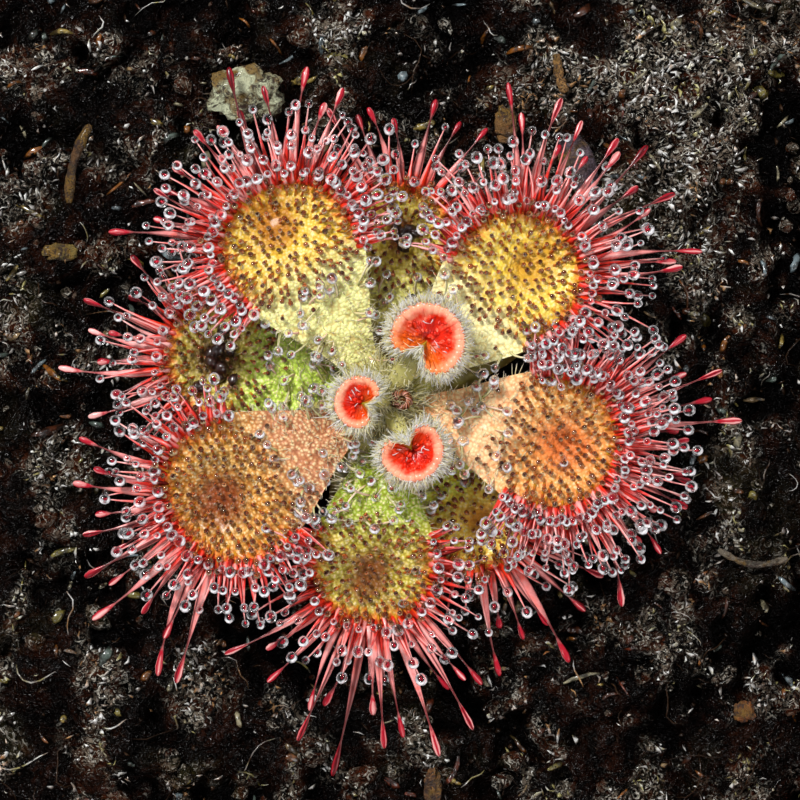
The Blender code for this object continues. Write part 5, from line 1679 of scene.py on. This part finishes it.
def weathered(name, dark_tone, pale_tone, scale):
    """Dead plant matter, soaked and worn: two tones in fine streaks, `scale` of them to a metre, with amber
    stains three times as broad, dark seams along a grain that is finer by half, and spots of pale mould.
    Pitted and rough, with a little shine from the wet."""
    material, tree = new_material(name)
    here = add(tree, "TexCoord").outputs["Object"]
    streaks = add(
        tree, "TexNoise", {"Vector": here, "Scale": scale, "Detail": 7, "Roughness": 0.7, "Distortion": 1.5}
    )
    tones = add(tree, "MapRange", {0: streaks.outputs["Fac"], 1: 0.40, 2: 0.64, 3: 0.0, 4: 1.0})
    colour = add(
        tree, "MixRGB", {"Fac": tones.outputs[0], "Color1": linear(dark_tone), "Color2": linear(pale_tone)}
    )
    broad = add(tree, "TexNoise", {"Vector": here, "Scale": 0.35 * scale, "Detail": 3, "Roughness": 0.7})
    stains = add(tree, "MapRange", {0: broad.outputs["Fac"], 1: 0.44, 2: 0.56, 3: 0.0, 4: 0.9})
    colour = add(
        tree, "MixRGB", {"Fac": stains.outputs[0], "Color1": colour.outputs[0], "Color2": linear("#7A5A14")}
    )
    grain = add(tree, "TexNoise", {"Vector": here, "Scale": 1.5 * scale, "Detail": 2, "Distortion": 3.0})
    seams = add(tree, "MapRange", {0: grain.outputs["Fac"], 1: 0.40, 2: 0.50, 3: 0.9, 4: 0.0})
    colour = add(
        tree, "MixRGB", {"Fac": seams.outputs[0], "Color1": colour.outputs[0], "Color2": linear("#2A140C")}
    )
    mould = add(tree, "TexNoise", {"Vector": here, "Scale": 0.6 * scale, "Detail": 2, "Roughness": 0.6})
    mouldy = add(tree, "MapRange", {0: mould.outputs["Fac"], 1: 0.56, 2: 0.62, 3: 0.0, 4: 0.7})
    colour = add(
        tree, "MixRGB", {"Fac": mouldy.outputs[0], "Color1": colour.outputs[0], "Color2": linear(pale_tone)}
    )
    relief = add(
        tree, "Math", {0: grain.outputs["Fac"], 1: 0.5, 2: streaks.outputs["Fac"]}, operation="MULTIPLY_ADD"
    )
    pitted = add(tree, "Bump", {"Height": relief.outputs[0], "Strength": 1.0, "Distance": 0.45 * mm})
    dead = add(
        tree,
        "BsdfPrincipled",
        {"Base Color": colour.outputs[0], "Roughness": 0.6, "Normal": pitted.outputs[0], "Coat Weight": 0.1},
    )
    add(tree, "OutputMaterial", {"Surface": dead.outputs[0]})
    return material


# A chip is a ball, squared off by a power, dented by two sizes of ripple and drawn out to its solid's box.
from_top, round_axis = np.linspace(0.06, np.pi - 0.06, CHIP_ROWS), np.linspace(0, 2 * np.pi, CHIP_COLUMNS + 1)
polar, azimuth = np.meshgrid(from_top, round_axis[:-1], indexing="ij")
ball_x, ball_y, ball_z = np.sin(polar) * np.cos(azimuth), np.sin(polar) * np.sin(azimuth), np.cos(polar)
ball = np.stack([ball_x, ball_y, ball_z], axis=-1)
chip_faces = [face[::-1] for face in lattice(CHIP_ROWS, CHIP_COLUMNS, joined=True)]
last_row = (CHIP_ROWS - 1) * CHIP_COLUMNS
chip_faces += [list(range(CHIP_COLUMNS)), list(range(last_row, last_row + CHIP_COLUMNS))[::-1]]
for number, (name, tones) in enumerate(CHIP_COLOURS.items()):
    low, high = (np.array(corner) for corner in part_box(name))
    middle, half = (low + high) / 2, (high - low) / 2
    worn = 0.94 + 0.16 * ripple(3 * ball_x, 3 * ball_y + ball_z, 2.2, 40 + number)
    worn = np.minimum(worn, 1.02) * (0.95 + 0.045 * ripple(5 * ball_x, 5 * ball_y, 1.5, 60 + number))
    chip_points = half * np.sign(ball) * np.abs(ball) ** CHIP_ROUNDNESS * worn[..., None]
    chip_points = middle - (0, 0, 0.25 * half[2]) + chip_points
    bark = weathered(name, *tones, BARK_STREAKS)
    chip = mesh_piece(name + "_worn", chip_points, chip_faces, bark, "bark")
    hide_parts(name)

# The dead leaf is a thin plate, narrow at both ends and askew, whose edges curl up by the square of their
# distance from its middle.
low, high = (np.array(corner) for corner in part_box("dead_leaf"))
middle, half = (low + high) / 2, (high - low) / 2
flake_u, flake_v = np.meshgrid(np.linspace(-1, 1, 40), np.linspace(-1, 1, 30), indexing="ij")
taper = np.sqrt(1 - 0.9 * flake_u**2)
flake_x, flake_y = flake_v * taper * 0.80 * half[0], flake_u * half[1] * 0.98
flake_x = flake_x - 0.25 * flake_y
curl = (0.25 * flake_v**2 + 0.10 * flake_u**2 + 0.05 * ripple(3 * flake_u, 3 * flake_v, 2.0, 77)) * mm
upper = np.stack([middle[0] + flake_x, middle[1] + flake_y, low[2] + 0.16 * mm + curl], axis=-1)
flake_points, flake_faces = plate(upper, upper - (0, 0, DEAD_LEAF_THICKNESS))
flake_faces = [face[::-1] for face in flake_faces]
leaf_litter = weathered("dead leaf", "#2E2430", "#6E5C66", LEAF_STREAKS)
dead_leaf = mesh_piece("dead_leaf_shred", flake_points, flake_faces, leaf_litter, "dead_leaf")
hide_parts("dead_leaf")

# name: first and last point, radius and how far the middle bows aside, in millimetres, as in CAD, then its
# dark tone and its pale one
TWIGS = {
    "twig_brown": ((-16.9, 15.8), (-18.1, 11.3), 0.32, 0.35, "#22140A", "#66441F"),
    "straw_piece": ((9.9, 19.9), (10.4, 17.7), 0.30, 0.10, "#5A3A18", "#B98A4C"),
    "root_fibre": ((19.2, -8.6), (23.2, -9.1), 0.22, 0.60, "#2A241A", "#7E7464"),
}
# A twig bows aside by a sine, is knobbly by ripples and narrows just at its ends.
for number, (name, (first, last, radius, bow, dark_tone, pale_tone)) in enumerate(TWIGS.items()):
    t = np.linspace(0, 1, 40)
    start, end = np.array([*first, 0.0]) * mm, np.array([*last, 0.0]) * mm
    aside = unit(np.cross(end - start, (0, 0, 1.0)))
    line = start + (end - start) * t[:, None] + aside * (bow * np.sin(np.pi * t) * mm)[:, None]
    low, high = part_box(name)
    line[:, 2] = (low[2] + high[2]) / 2 + 0.04 * mm * ripple(8 * t, 0 * t, 2.5, number)
    knobbly = radius * mm * (0.86 + 0.12 * ripple(9 * t, 0 * t, 1.6, 20 + number))
    knobbly = knobbly * (1 - 0.5 * np.abs(2 * t - 1) ** 12)
    twig_rings = tubes(line[None], knobbly[None], 14)
    dead_rind = weathered(name, dark_tone, pale_tone, TWIG_STREAKS)
    twig = mesh_piece(name + "_bark", twig_rings, skin(twig_rings), dead_rind, "straw")
    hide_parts(name)
